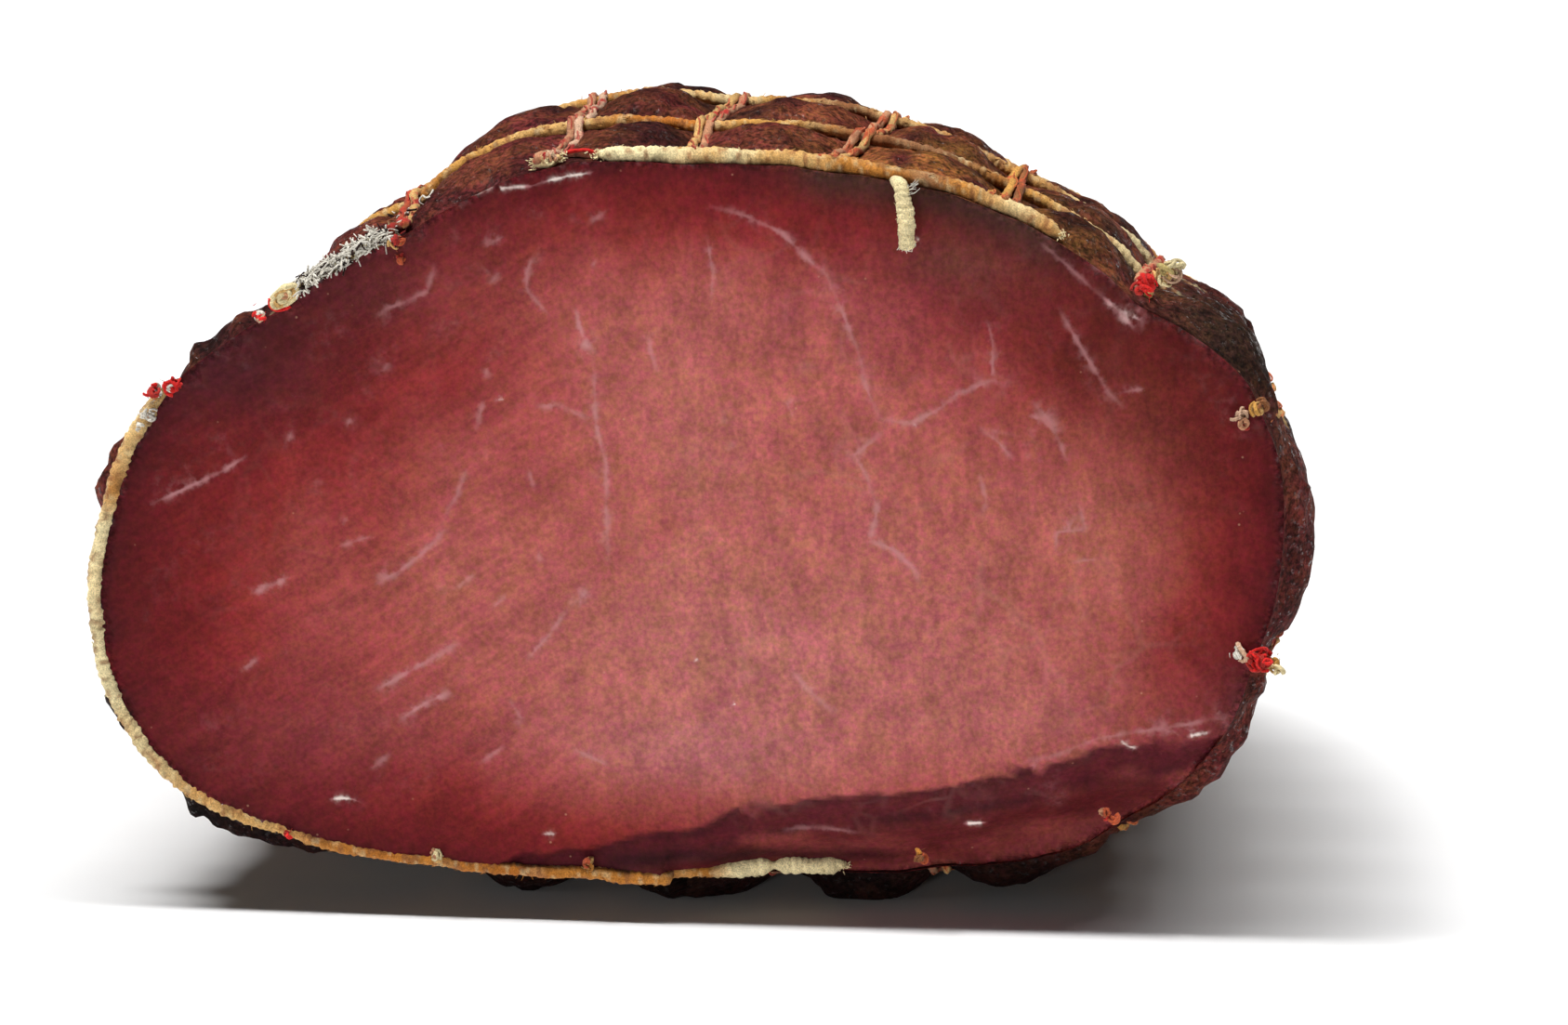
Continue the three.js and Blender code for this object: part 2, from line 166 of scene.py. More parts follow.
# ---- Section and profile of the meat ----
def closed_curve(radii):
    """The cubics of a centripetal curve through the ribs at the given distances from the centre."""
    a = np.radians(RIBS[:, 0])
    points = np.stack([radii * np.cos(a), radii * np.sin(a)], axis=1)
    p0, p1, p2, p3 = (np.roll(points, k, axis=0) for k in (1, 0, -1, -2))
    d0, d1, d2 = (
        np.sqrt(np.linalg.norm(b - a, axis=1))[:, None] for a, b in ((p0, p1), (p1, p2), (p2, p3))
    )
    t1 = ((p1 - p0) / d0 - (p2 - p0) / (d0 + d1) + (p2 - p1) / d1) * d1
    t2 = ((p2 - p1) / d1 - (p3 - p1) / (d1 + d2) + (p3 - p2) / d2) * d1
    return p1, t1, -3 * p1 + 3 * p2 - 2 * t1 - t2, 2 * p1 - 2 * p2 + t1 + t2


def on_curve(curve, u):
    i = np.floor(u).astype(int)
    w = (u - i)[..., None]
    c0, c1, c2, c3 = (c[i % COUNT] for c in curve)
    return c0 + w * (c1 + w * (c2 + w * c3))


CUT_SECTION = closed_curve(RIBS[:, 1])
FULL_SECTION = closed_curve(RIBS[:, 1] + RIBS[:, 2])

PHI = np.linspace(0, math.pi / 2, 2001)
PROFILE_Y = BODY_LENGTH * np.sin(PHI) ** (2 / NOSE_POWER)
PROFILE_SCALE = np.cos(PHI)
PROFILE_STEPS = np.hypot(np.diff(PROFILE_Y), MEAN_RADIUS * np.diff(PROFILE_SCALE))
PROFILE_S = np.concatenate([[0], np.cumsum(PROFILE_STEPS)])
SURFACE_LENGTH = PROFILE_S[-1]


def line_height(line, x):
    """Height over the face's centre of a line across the face. Beyond its ends it is far below."""
    xs, zs = zip(*line)
    return np.where((x < xs[0]) | (x >= xs[-1]), FAR_BELOW, np.interp(x, xs, zs))


def face_relief(x, z, edge):
    below = np.maximum(0, line_height(LIP_CREST, x) - z)
    return np.minimum(LIP_EDGE_DEEPEST, below * LIP_SLOPE) - FACE_DOME * (1 - edge**2)


def station(u, v):
    """Distance from the cut edge of hoop number v."""
    turn = 2 * math.pi * u / COUNT
    steady = smooth(np.float64(v)) * smooth((HOOPS - v) / 3)
    waver = np.sin(3 * turn + 1.7 * v) + 0.6 * np.sin(5 * turn - 2.3 * v)
    return FIRST_HOOP + HOOP_PITCH * v + HOOP_WAVER * steady * waver


def groove_floor(u, s):
    y = np.interp(s, PROFILE_S, PROFILE_Y)
    scale = np.interp(s, PROFILE_S, PROFILE_SCALE)
    hoops = s / HOOP_PITCH
    lap = u % COUNT
    waver = mix(
        np.sin(1.1 * hoops + 2.4 * lap),
        np.sin(1.1 * hoops + 2.4 * (lap - COUNT)),
        smooth(lap - (COUNT - 1)),
    )
    twisted = lap + RIB_TWIST * hoops + RIB_WAVER * waver * smooth(hoops)
    swollen = smooth(y / SWELL_AT)[..., None]
    outline = mix(on_curve(CUT_SECTION, twisted), on_curve(FULL_SECTION, twisted), swollen)
    lowest = GROOVE_FLOOR_Z + CUT_RISE * (1 - smooth(y / HOOP_PITCH))
    lowest = lowest + END_RISE * (y / BODY_LENGTH) ** END_RISE_POWER
    x, z = outline[..., 0], outline[..., 1]
    back = face_relief(x, z, 1) * np.clip(1 - hoops, 0, 1)
    side = x * scale + SIDE_DRIFT * y / BODY_LENGTH
    return np.stack([side, y + back, lowest + (SECTION_DEPTH + z) * scale], axis=-1)


# The shoulder at the upper left and the pillows at the right stand a little fuller than in the solid.
SHOULDER = {"rise": 1.3, "u": 1.7, "half_u": 0.9, "s": 16.0, "half_s": 9.0}
FULL_PILLOWS = {"rise": 1.2, "u": 8.4, "half_u": 1.3, "half_s": 40.0}

# How much the cut edge is filled out at the ribs, in millimetres, round the section, and how far back.
FILL_AT = (0, 2, 2.6, 6.4, 7, 10.5, 11.6, 18)
FILLED = (0.8, 0.8, 0.9, 0.9, 0.2, 0.2, 0.8, 0.8)
FILL_LENGTH = 7.0

# Over the top of the meat the hoops run straight over the ribs: where, and how much the meat is filled out
# there.
TAUT_AT = (2, 2.8, 6.6, 7.2)
TAUT_SHARE = (0, 1, 1, 0)
TAUT_FROM = 6.0
TAUT_UNTIL = 50.0
TAUT_FADE = 15.0
TAUT_FILL = 0.9

FULL_GRIP_SPACING = 16.0  # ribs at least so far apart press in fully
DIMPLE_HALF = 0.27


def place(u, s):
    """The place (u, s) on the groove floor, the directions out, round and along, and the ribs' spacing."""
    u, s = np.broadcast_arrays(np.asarray(u, float), np.asarray(s, float))
    step = 0.01
    at = np.minimum(s, SURFACE_LENGTH - 2 * step)
    point = groove_floor(u, at)
    across = groove_floor(u + step, at) - groove_floor(u - step, at)
    back = np.maximum(at, step)
    forward = unit(groove_floor(u, back + step) - groove_floor(u, back - step))
    spacing = np.linalg.norm(across, axis=-1) / (2 * step)
    across = unit(across)
    out = unit(np.cross(across, forward))
    fuller = bell(u % COUNT, SHOULDER["u"], SHOULDER["half_u"]) * bell(s, SHOULDER["s"], SHOULDER["half_s"])
    point = point + out * (SHOULDER["rise"] * fuller)[..., None]
    along = unit(np.cross(out, across))
    return {"point": point, "out": out, "round": across, "along": along, "spacing": spacing}


def off_hoop(u, s):
    return np.min([np.abs(s - station(u, v)) for v in range(HOOPS)], axis=0)


def taut(u, s):
    """1 where the hoops run straight over the ribs, and 0 elsewhere."""
    here = np.interp(u % COUNT, TAUT_AT, TAUT_SHARE)
    return here * smooth(s / TAUT_FROM) * (1 - smooth((s - TAUT_UNTIL) / TAUT_FADE))


def meat_height(at, u, s, hoop):
    """Height of the meat over the groove floor. hoop is 1 under a hoop and 0 between hoops."""
    off = u % 1
    near = np.minimum(off, 1 - off)
    grip = smooth(at["spacing"] / FULL_GRIP_SPACING)
    under = smooth((UNDER_FROM - at["point"][..., 2]) / (UNDER_FROM - UNDER_FULLY))
    fuller = bell(u % COUNT, FULL_PILLOWS["u"], FULL_PILLOWS["half_u"], 4)
    fuller = fuller * bell(s, 0, FULL_PILLOWS["half_s"])
    full = mix(PILLOW, PILLOW_UNDER, under) + FULL_PILLOWS["rise"] * fuller
    height = mix(PILLOW_AT_CUT, full, smooth(s / PILLOW_FULL_AT)) * grip
    bite = mix(HOOP_BITE, HOOP_BITE_UNDER, under) * hoop
    tight = taut(u, s) * hoop
    dimple = CROSSING_DIMPLE * grip * (hoop - tight) * (1 - smooth(near / DIMPLE_HALF))
    arch = np.sin(math.pi * off) ** PILLOW_ROUNDNESS
    fill = np.interp(u % COUNT, FILL_AT, FILLED) * (1 - smooth(s / FILL_LENGTH)) * (1 - arch)
    return height * arch * (1 - bite) - dimple + fill + TAUT_FILL * tight * (1 - arch)


TIP = groove_floor(np.zeros(1), np.full(1, SURFACE_LENGTH))[0]


# ---- Meshes ----
def add_object(name, data):
    made = bpy.data.objects.new(name, data)
    bpy.context.scene.collection.objects.link(made)
    return made


def stand(made, point, x_axis, y_axis, z_axis):
    """Puts an object at a point in metres, turned to the given axes."""
    turned = np.eye(4)
    turned[:3, :3] = np.stack([x_axis, y_axis, z_axis], axis=1)
    turned[:3, 3] = point
    made.matrix_world = Matrix(turned.tolist())


def make_piece(name, points, faces, material, nodes, colours, values=None):
    """A piece of the object from points in the part's own millimetres, with a colour at each of them."""
    mesh = bpy.data.meshes.new(name)
    mesh.from_pydata(((points + SHIFT) * MM).tolist(), [], faces)
    mesh.polygons.foreach_set("use_smooth", [True] * len(mesh.polygons))
    layer = mesh.color_attributes.new("tint", "FLOAT_COLOR", "POINT")
    opaque = np.ones((len(points), 4), np.float32)
    opaque[:, :3] = colours
    layer.data.foreach_set("color", opaque.ravel())
    for key, value in (values or {}).items():
        layer = mesh.attributes.new(key, "FLOAT", "POINT")
        layer.data.foreach_set("value", np.asarray(value, np.float32))
    mesh.materials.append(material)
    mesh.update()
    piece = add_object(name, mesh)
    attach(piece, "root")
    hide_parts(*nodes)


class Heap:
    """Tubes gathered into one mesh, with a colour at each point."""

    def __init__(self):
        self.points, self.faces, self.colours, self.size = [], [], [], 0

    def tube(self, path, up, radius, colour, sides=8, closed=False, relief=None, taper=0.0):
        """A round tube along a path.

        up is the direction that angle 0 faces. relief(distance, angle) thickens the tube by a share of its
        radius, and taper narrows it towards its far end. colour is one colour, one for each point of the
        path, or a function of the tube's points and their angles.
        """
        path = np.asarray(path, float)
        n = len(path)
        if closed:
            tangent = unit(np.roll(path, -1, axis=0) - np.roll(path, 1, axis=0))
        else:
            tangent = unit(np.gradient(path, axis=0))
        up = np.broadcast_to(up, path.shape)
        side = unit(np.cross(tangent, up))
        up = np.cross(side, tangent)
        distance = travelled(path)
        angle = np.arange(sides) * 2 * math.pi / sides
        radius = np.broadcast_to(radius, n)[:, None]
        if relief is not None:
            radius = radius * (1 + relief(distance[:, None], angle[None, :]))
        radius = radius * (1 - taper * (distance / max(distance[-1], 1e-6))[:, None])
        ring = (
            path[:, None]
            + (radius * np.cos(angle))[..., None] * up[:, None]
            + (radius * np.sin(angle))[..., None] * side[:, None]
        )
        grid = np.arange(n * sides).reshape(n, sides) + self.size
        nxt = np.roll(grid, -1, axis=0) if closed else grid[1:]
        cur = grid if closed else grid[:-1]
        quads = np.stack([cur, np.roll(cur, -1, axis=1), np.roll(nxt, -1, axis=1), nxt], axis=-1)
        self.faces.extend(quads.reshape(-1, 4).tolist())
        self.points.append(ring.reshape(-1, 3))
        if callable(colour):
            colour = colour(ring, angle)
        else:
            colour = np.repeat(np.broadcast_to(colour, (n, 3))[:, None], sides, axis=1)
        self.colours.append(colour.reshape(-1, 3))
        self.size += n * sides
        if not closed:
            for row, turned in ((0, True), (n - 1, False)):
                self.points.append(path[row][None])
                self.colours.append(colour[row].mean(axis=0)[None])
                loop = grid[row].tolist()
                for a, b in zip(loop, loop[1:] + loop[:1]):
                    self.faces.append([b, a, self.size] if turned else [a, b, self.size])
                self.size += 1

    def piece(self, name, material, slot, nodes):
        points, colours = np.concatenate(self.points), np.concatenate(self.colours)
        make_piece(name, points, self.faces, material, nodes, colours)


# ---- Materials ----
class Graph:
    """A material's nodes, built one call at a time."""

    def __init__(self, name):
        self.material = bpy.data.materials.new(name)
        self.material.use_nodes = True
        self.tree = self.material.node_tree
        self.tree.nodes.clear()

    def node(self, kind, inputs, **properties):
        made = self.tree.nodes.new(kind)
        for key, value in properties.items():
            setattr(made, key, value)
        for key, value in inputs.items():
            if isinstance(value, bpy.types.NodeSocket):
                self.tree.links.new(value, made.inputs[key])
            else:
                made.inputs[key].default_value = value
        return made

    def math(self, operation, a, b, clamp=False):
        return self.node("ShaderNodeMath", {0: a, 1: b}, operation=operation, use_clamp=clamp).outputs[0]

    def product(self, first, *others):
        for other in others:
            first = self.math("MULTIPLY", first, other)
        return first

    def ramp(self, value, low, high, to_low=0.0, to_high=1.0):
        inputs = {"Value": value, "From Min": low, "From Max": high, "To Min": to_low, "To Max": to_high}
        return self.node("ShaderNodeMapRange", inputs, interpolation_type="SMOOTHSTEP").outputs["Result"]

    def between(self, share, a, b):
        """The number a where share is 0, and b where it is 1."""
        return self.node("ShaderNodeMix", {0: share, 2: a, 3: b}, data_type="FLOAT").outputs[0]

    def mixed(self, share, a, b, blend="MIX"):
        made = self.node("ShaderNodeMix", {0: share, 6: a, 7: b}, data_type="RGBA", blend_type=blend)
        return made.outputs[2]

    def tinted(self, colour, by):
        return self.mixed(1.0, colour, by, "MULTIPLY")

    def lit(self, colour, light):
        """The colour, lighter or darker by a number."""
        grey = self.node("ShaderNodeCombineColor", {0: light, 1: light, 2: light}).outputs[0]
        return self.tinted(colour, grey)

    def scaled(self, vector, by):
        return self.node("ShaderNodeVectorMath", {0: vector, "Scale": by}, operation="SCALE").outputs[0]

    def places(self):
        """The place in the frame, in millimetres."""
        return self.scaled(self.node("ShaderNodeTexCoord", {}).outputs["Object"], 1 / MM)

    def noise(self, places, size, detail=2.0, roughness=0.5):
        inputs = {"Vector": places, "Scale": 1 / size, "Detail": detail, "Roughness": roughness}
        return self.node("ShaderNodeTexNoise", inputs).outputs["Fac"]

    def bump(self, height, distance):
        inputs = {"Height": height, "Strength": 1.0, "Distance": distance}
        return self.node("ShaderNodeBump", inputs).outputs[0]

    def turned(self, places, degrees, stretch):
        """The places turned about the Y axis and then scaled."""
        inputs = {"Vector": places, "Rotation": (0.0, math.radians(-degrees), 0.0)}
        about = self.node("ShaderNodeMapping", inputs, vector_type="POINT").outputs[0]
        return self.node("ShaderNodeVectorMath", {0: about, 1: stretch}, operation="MULTIPLY").outputs[0]

    def attribute(self, name, output="Fac"):
        return self.node("ShaderNodeAttribute", {}, attribute_name=name).outputs[output]

    def finish(self, inputs):
        shader = self.node("ShaderNodeBsdfPrincipled", inputs)
        self.node("ShaderNodeOutputMaterial", {"Surface": shader.outputs[0]})
        return self.material


def rgba(colour):
    return (*[float(c) for c in colour], 1.0)


SLANT = -32  # of the fibres on the left of the face, in degrees
WARM = rgba((0.92, 1.1, 0.82))
COOL = rgba((1.0, 0.86, 1.14))
BUNDLE_SHADE = rgba((0.94, 0.91, 0.94))
BUNDLES = 0.24  # muscle bundles a millimetre
WEB_CELLS = 0.13
SPECK_CELLS = 0.55
STREAK_CORE = -2.2
STREAK_HALO = -0.4
EULER = 2.718  # base of the bell curves across a streak


def meat_material():
    g = Graph("cured_meat")
    places = g.places()
    face = g.attribute("face")
    # Grain of the lean, in lightness.
    grain = g.noise(places, 0.75, 3, 0.65)
    clouds = g.noise(places, 5.5, 4, 0.65)
    light_face = g.math("ADD", g.ramp(grain, 0.25, 0.75, 0.94, 1.44), g.ramp(clouds, 0.3, 0.7, -0.13, 0.13))
    light_rind = g.product(g.ramp(grain, 0.32, 0.68, 0.4, 2.1), g.ramp(clouds, 0.35, 0.65, 0.65, 1.4))
    # Fibres of the muscle and broader bands: slanting on the left of the face and upright on the right.
    upright = g.attribute("upright")
    slanted_fibre = g.noise(g.turned(places, SLANT, (0.16, 1.0, 1.4)), 1.0, 3, 0.6)
    upright_fibre = g.noise(g.turned(places, -96, (0.35, 1.0, 1.2)), 1.0, 3, 0.6)
    slanted_band = g.noise(g.turned(places, SLANT, (0.2, 1.0, 1.2)), 3.0, 4, 0.65)
    upright_band = g.noise(g.turned(places, -100, (0.42, 1.0, 1.0)), 3.4, 4, 0.65)
    fibre = g.ramp(g.between(upright, slanted_fibre, upright_fibre), 0.3, 0.7, 0.94, 1.07)
    bands = g.ramp(g.between(upright, slanted_band, upright_band), 0.3, 0.7, 0.87, 1.13)
    light_face = g.product(light_face, fibre, bands)
    colour = g.lit(g.attribute("tint", "Color"), g.between(face, light_rind, light_face))
    # Yellowish and bluish in turn, in fine grains and in clouds.
    hue = g.math("ADD", g.noise(places, 0.9, 3, 0.7), g.product(g.noise(places, 5.0, 4, 0.65), 0.3))
    colour = g.mixed(g.ramp(hue, 0.45, 0.85), g.tinted(colour, WARM), g.tinted(colour, COOL))
    # Muscle bundles of slightly different shades, and faint bounds between them.
    swirl = g.node("ShaderNodeTexNoise", {"Vector": places, "Scale": 0.12, "Detail": 1.0}).outputs["Color"]
    inputs = {0: places, 1: g.scaled(swirl, 9.0)}
    bundle_places = g.node("ShaderNodeVectorMath", inputs, operation="ADD").outputs[0]
    inputs = {"Vector": bundle_places, "Scale": BUNDLES, "Smoothness": 0.6}
    bundle = g.node("ShaderNodeTexVoronoi", inputs, feature="SMOOTH_F1")
    shades = g.node("ShaderNodeSeparateColor", {0: bundle.outputs["Color"]})
    darker = g.tinted(colour, BUNDLE_SHADE)
    colour = g.mixed(g.product(g.ramp(shades.outputs[0], 0.35, 0.65), face), colour, darker)
    inputs = {"Vector": bundle_places, "Scale": WEB_CELLS}
    web = g.node("ShaderNodeTexVoronoi", inputs, feature="DISTANCE_TO_EDGE")
    lines = g.ramp(web.outputs["Distance"], 0.0, 0.1, 1.0, 0.0)
    web_share = g.product(lines, g.ramp(g.noise(places, 9, 3), 0.45, 0.7), g.attribute("webbed"))
    colour = g.mixed(web_share, colour, rgba(srgb(205, 150, 140)))
    # Streaks of fat and sinew, and painted highlights and glints drawn the same way, with a soft edge. The
    # strongest are white.
    wobble = g.ramp(g.noise(places, 1.3, 3, 0.6), 0.3, 0.7, 0.4, 1.3)
    width = g.product(g.attribute("fat_width"), wobble, 1.25)
    share = g.math("DIVIDE", g.attribute("fat_distance"), width)
    squared = g.product(share, share)
    core = g.math("POWER", EULER, g.product(squared, STREAK_CORE))
    halo = g.product(g.math("POWER", EULER, g.product(squared, STREAK_HALO)), 0.12)
    strength = g.attribute("fat_strength")
    patchy = g.ramp(g.noise(places, 2.6, 3), 0.32, 0.62, 0.3, 1.0)
    streak = g.product(g.math("ADD", core, halo), strength, patchy)
    # The strongest streaks are white: white fat and membrane, and painted glints.
    pale = g.mixed(g.ramp(strength, 1.05, 1.5), rgba(srgb(208, 150, 152)), rgba(srgb(240, 222, 214)))
    colour = g.mixed(g.math("MULTIPLY", streak, 0.62, clamp=True), colour, pale)
    # Pale specks.
    cells = g.node("ShaderNodeTexVoronoi", {"Vector": places, "Scale": SPECK_CELLS}, feature="F1")
    speck = g.ramp(cells.outputs["Distance"], 0.04, 0.13, 0.5, 0.0)
    specks = g.product(speck, g.ramp(g.noise(places, 3.1, 1), 0.6, 0.7))
    colour = g.mixed(specks, colour, rgba(srgb(200, 150, 120)))
    rough_face = g.ramp(g.noise(places, 2.2, 3), 0.3, 0.7, 0.42, 0.56)
    rough_rind = g.ramp(g.noise(places, 1.6, 3), 0.3, 0.7, 0.5, 0.8)
    fine = g.noise(places, 0.55, 4, 0.7)
    coarse = g.noise(places, 2.4, 3, 0.6)
    rind_relief = g.math("ADD", g.product(coarse, 0.6), g.product(fine, 0.36))
    lean_relief = g.math("ADD", g.product(fine, 0.07), g.product(coarse, 0.05))
    relief = g.between(face, rind_relief, lean_relief)
    # A moist film lies in patches, mostly on the rind.
    film_rind = g.ramp(g.noise(places, 1.1, 3, 0.7), 0.56, 0.66, 0.0, 0.9)
    film_face = g.ramp(g.noise(places, 4.0, 4, 0.75), 0.66, 0.78, 0.0, 0.3)
    ripples = g.math("ADD", g.product(g.noise(places, 0.9, 3, 0.6), 0.5), relief)
    return g.finish({
        "Base Color": colour, "Roughness": g.between(face, rough_rind, rough_face),
        "Normal": g.bump(relief, MM),
        "Subsurface Weight": 0.1, "Subsurface Radius": (1.0, 0.3, 0.2), "Subsurface Scale": 0.002,
        "Specular IOR Level": 0.06, "Coat Weight": g.between(face, film_rind, film_face),
        "Coat Roughness": 0.12, "Coat Normal": g.bump(ripples, MM),
    })


def yarn_material(name, roughness, sheen):
    g = Graph(name)
    places = g.places()
    fibre = g.noise(places, 0.22, 3, 0.7)
    soil = g.noise(places, 3.0, 3, 0.6)
    light = g.product(g.ramp(fibre, 0.3, 0.7, 0.62, 1.24), g.ramp(soil, 0.3, 0.7, 0.82, 1.1))
    return g.finish({
        "Base Color": g.lit(g.attribute("tint", "Color"), light), "Roughness": roughness,
        "Normal": g.bump(fibre, 0.12 * MM), "Sheen Weight": sheen, "Sheen Roughness": 0.5,
        "Specular IOR Level": 0.15,
    })


def floor_material():
    g = Graph("pale_floor")
    cloud = g.ramp(g.noise(g.places(), 300, 2), 0.3, 0.7)
    colour = g.mixed(cloud, rgba((0.72, 0.72, 0.72)), rgba((0.75, 0.75, 0.75)))
    return g.finish({"Base Color": colour, "Roughness": 0.8, "Specular IOR Level": 0.1})


MEAT = meat_material()
ELASTIC = yarn_material("elastic_cord", 0.8, 0.08)
STITCHES = yarn_material("stitches", 0.85, 0.08)
STRING = yarn_material("string_ply", 0.85, 0.1)

# ---- The camera ----
AZIMUTH = math.radians(5)
ELEVATION = math.radians(15)
CAMERA_DISTANCE = 620.0  # from the centre of the cut face
CAMERA_OFF = (12.116, 1.2915)  # right and up, which puts the face where it is in the picture
LENS = 107.565
SENSOR_WIDTH = 36.0
CLIP_START = 0.02
CLIP_END = 20.0


def make_camera():
    back = np.array([
        math.sin(AZIMUTH) * math.cos(ELEVATION),
        -math.cos(AZIMUTH) * math.cos(ELEVATION),
        math.sin(ELEVATION),
    ])
    right = np.array([math.cos(AZIMUTH), math.sin(AZIMUTH), 0.0])
    above = np.cross(back, right)
    data = bpy.data.cameras.new("camera")
    data.sensor_width = SENSOR_WIDTH
    data.lens = LENS
    data.clip_start = CLIP_START
    data.clip_end = CLIP_END
    camera = add_object("camera", data)
    face_centre = SHIFT + np.array([0, 0, FACE_CENTRE_Z])
    point = face_centre + back * CAMERA_DISTANCE + right * CAMERA_OFF[0] + above * CAMERA_OFF[1]
    stand(camera, point * MM, right, above, back)
    bpy.context.scene.camera = camera


make_camera()

# ---- The cut face ----
# How far in the meat has dried and darkened at each rib, in millimetres.
DRIED = (37, 34, 28, 18, 14, 19, 24, 28, 27, 20, 17, 14, 14, 14, 18, 26, 33, 38)

# Colour against depth, where 1 is as far in as it has dried.
DEPTH_COLOURS = (
    (0.00, srgb(66, 20, 24)),
    (0.06, srgb(86, 21, 24)),
    (0.20, srgb(103, 26, 28)),
    (0.38, srgb(116, 32, 32)),
    (0.55, srgb(131, 43, 41)),
    (0.80, srgb(154, 70, 65)),
    (1.10, srgb(167, 87, 79)),
    (1.80, srgb(174, 95, 87)),
    (3.00, srgb(176, 99, 91)),
)

# Soft patches of another colour, some of them a painted soft sheen: centre, radii, strength and colour.
PATCHES = (
    ((54, 24), (10, 8), 0.88, srgb(88, 23, 19)),
    ((63, 13), (8, 10), 0.75, srgb(90, 22, 19)),
    ((44, 31), (11, 5), 0.6, srgb(94, 34, 30)),
    # The next three are a painted soft sheen: paler, greyer patches over the middle and lower face.
    ((-2, 6), (9, 12), 0.25, srgb(184, 106, 96)),
    ((10, -18), (26, 9), 0.45, srgb(184, 116, 108)),
    ((44, -26), (22, 7), 0.4, srgb(180, 108, 104)),
    ((-60, 19), (14, 7), 0.6, srgb(62, 28, 32)),
    ((-44, 30), (10, 4), 0.4, srgb(66, 26, 32)),
    ((56, 2), (9, 16), 0.35, srgb(168, 98, 82)),
    ((22, 30), (16, 7), 0.25, srgb(160, 82, 88)),
    ((28, -44), (22, 4), 0.5, srgb(122, 64, 66)),
    ((34, 36), (9, 4), 0.55, srgb(88, 56, 46)),
    ((-50, -30), (16, 8), 0.4, srgb(132, 66, 70)),
    # A painted soft sheen, as above.
    ((1, -31), (18, 6), 0.4, srgb(182, 120, 122)),
    ((1, -40), (13, 3), 0.35, srgb(136, 64, 56)),
    ((-22, 30), (20, 8), 0.25, srgb(170, 90, 84)),
)
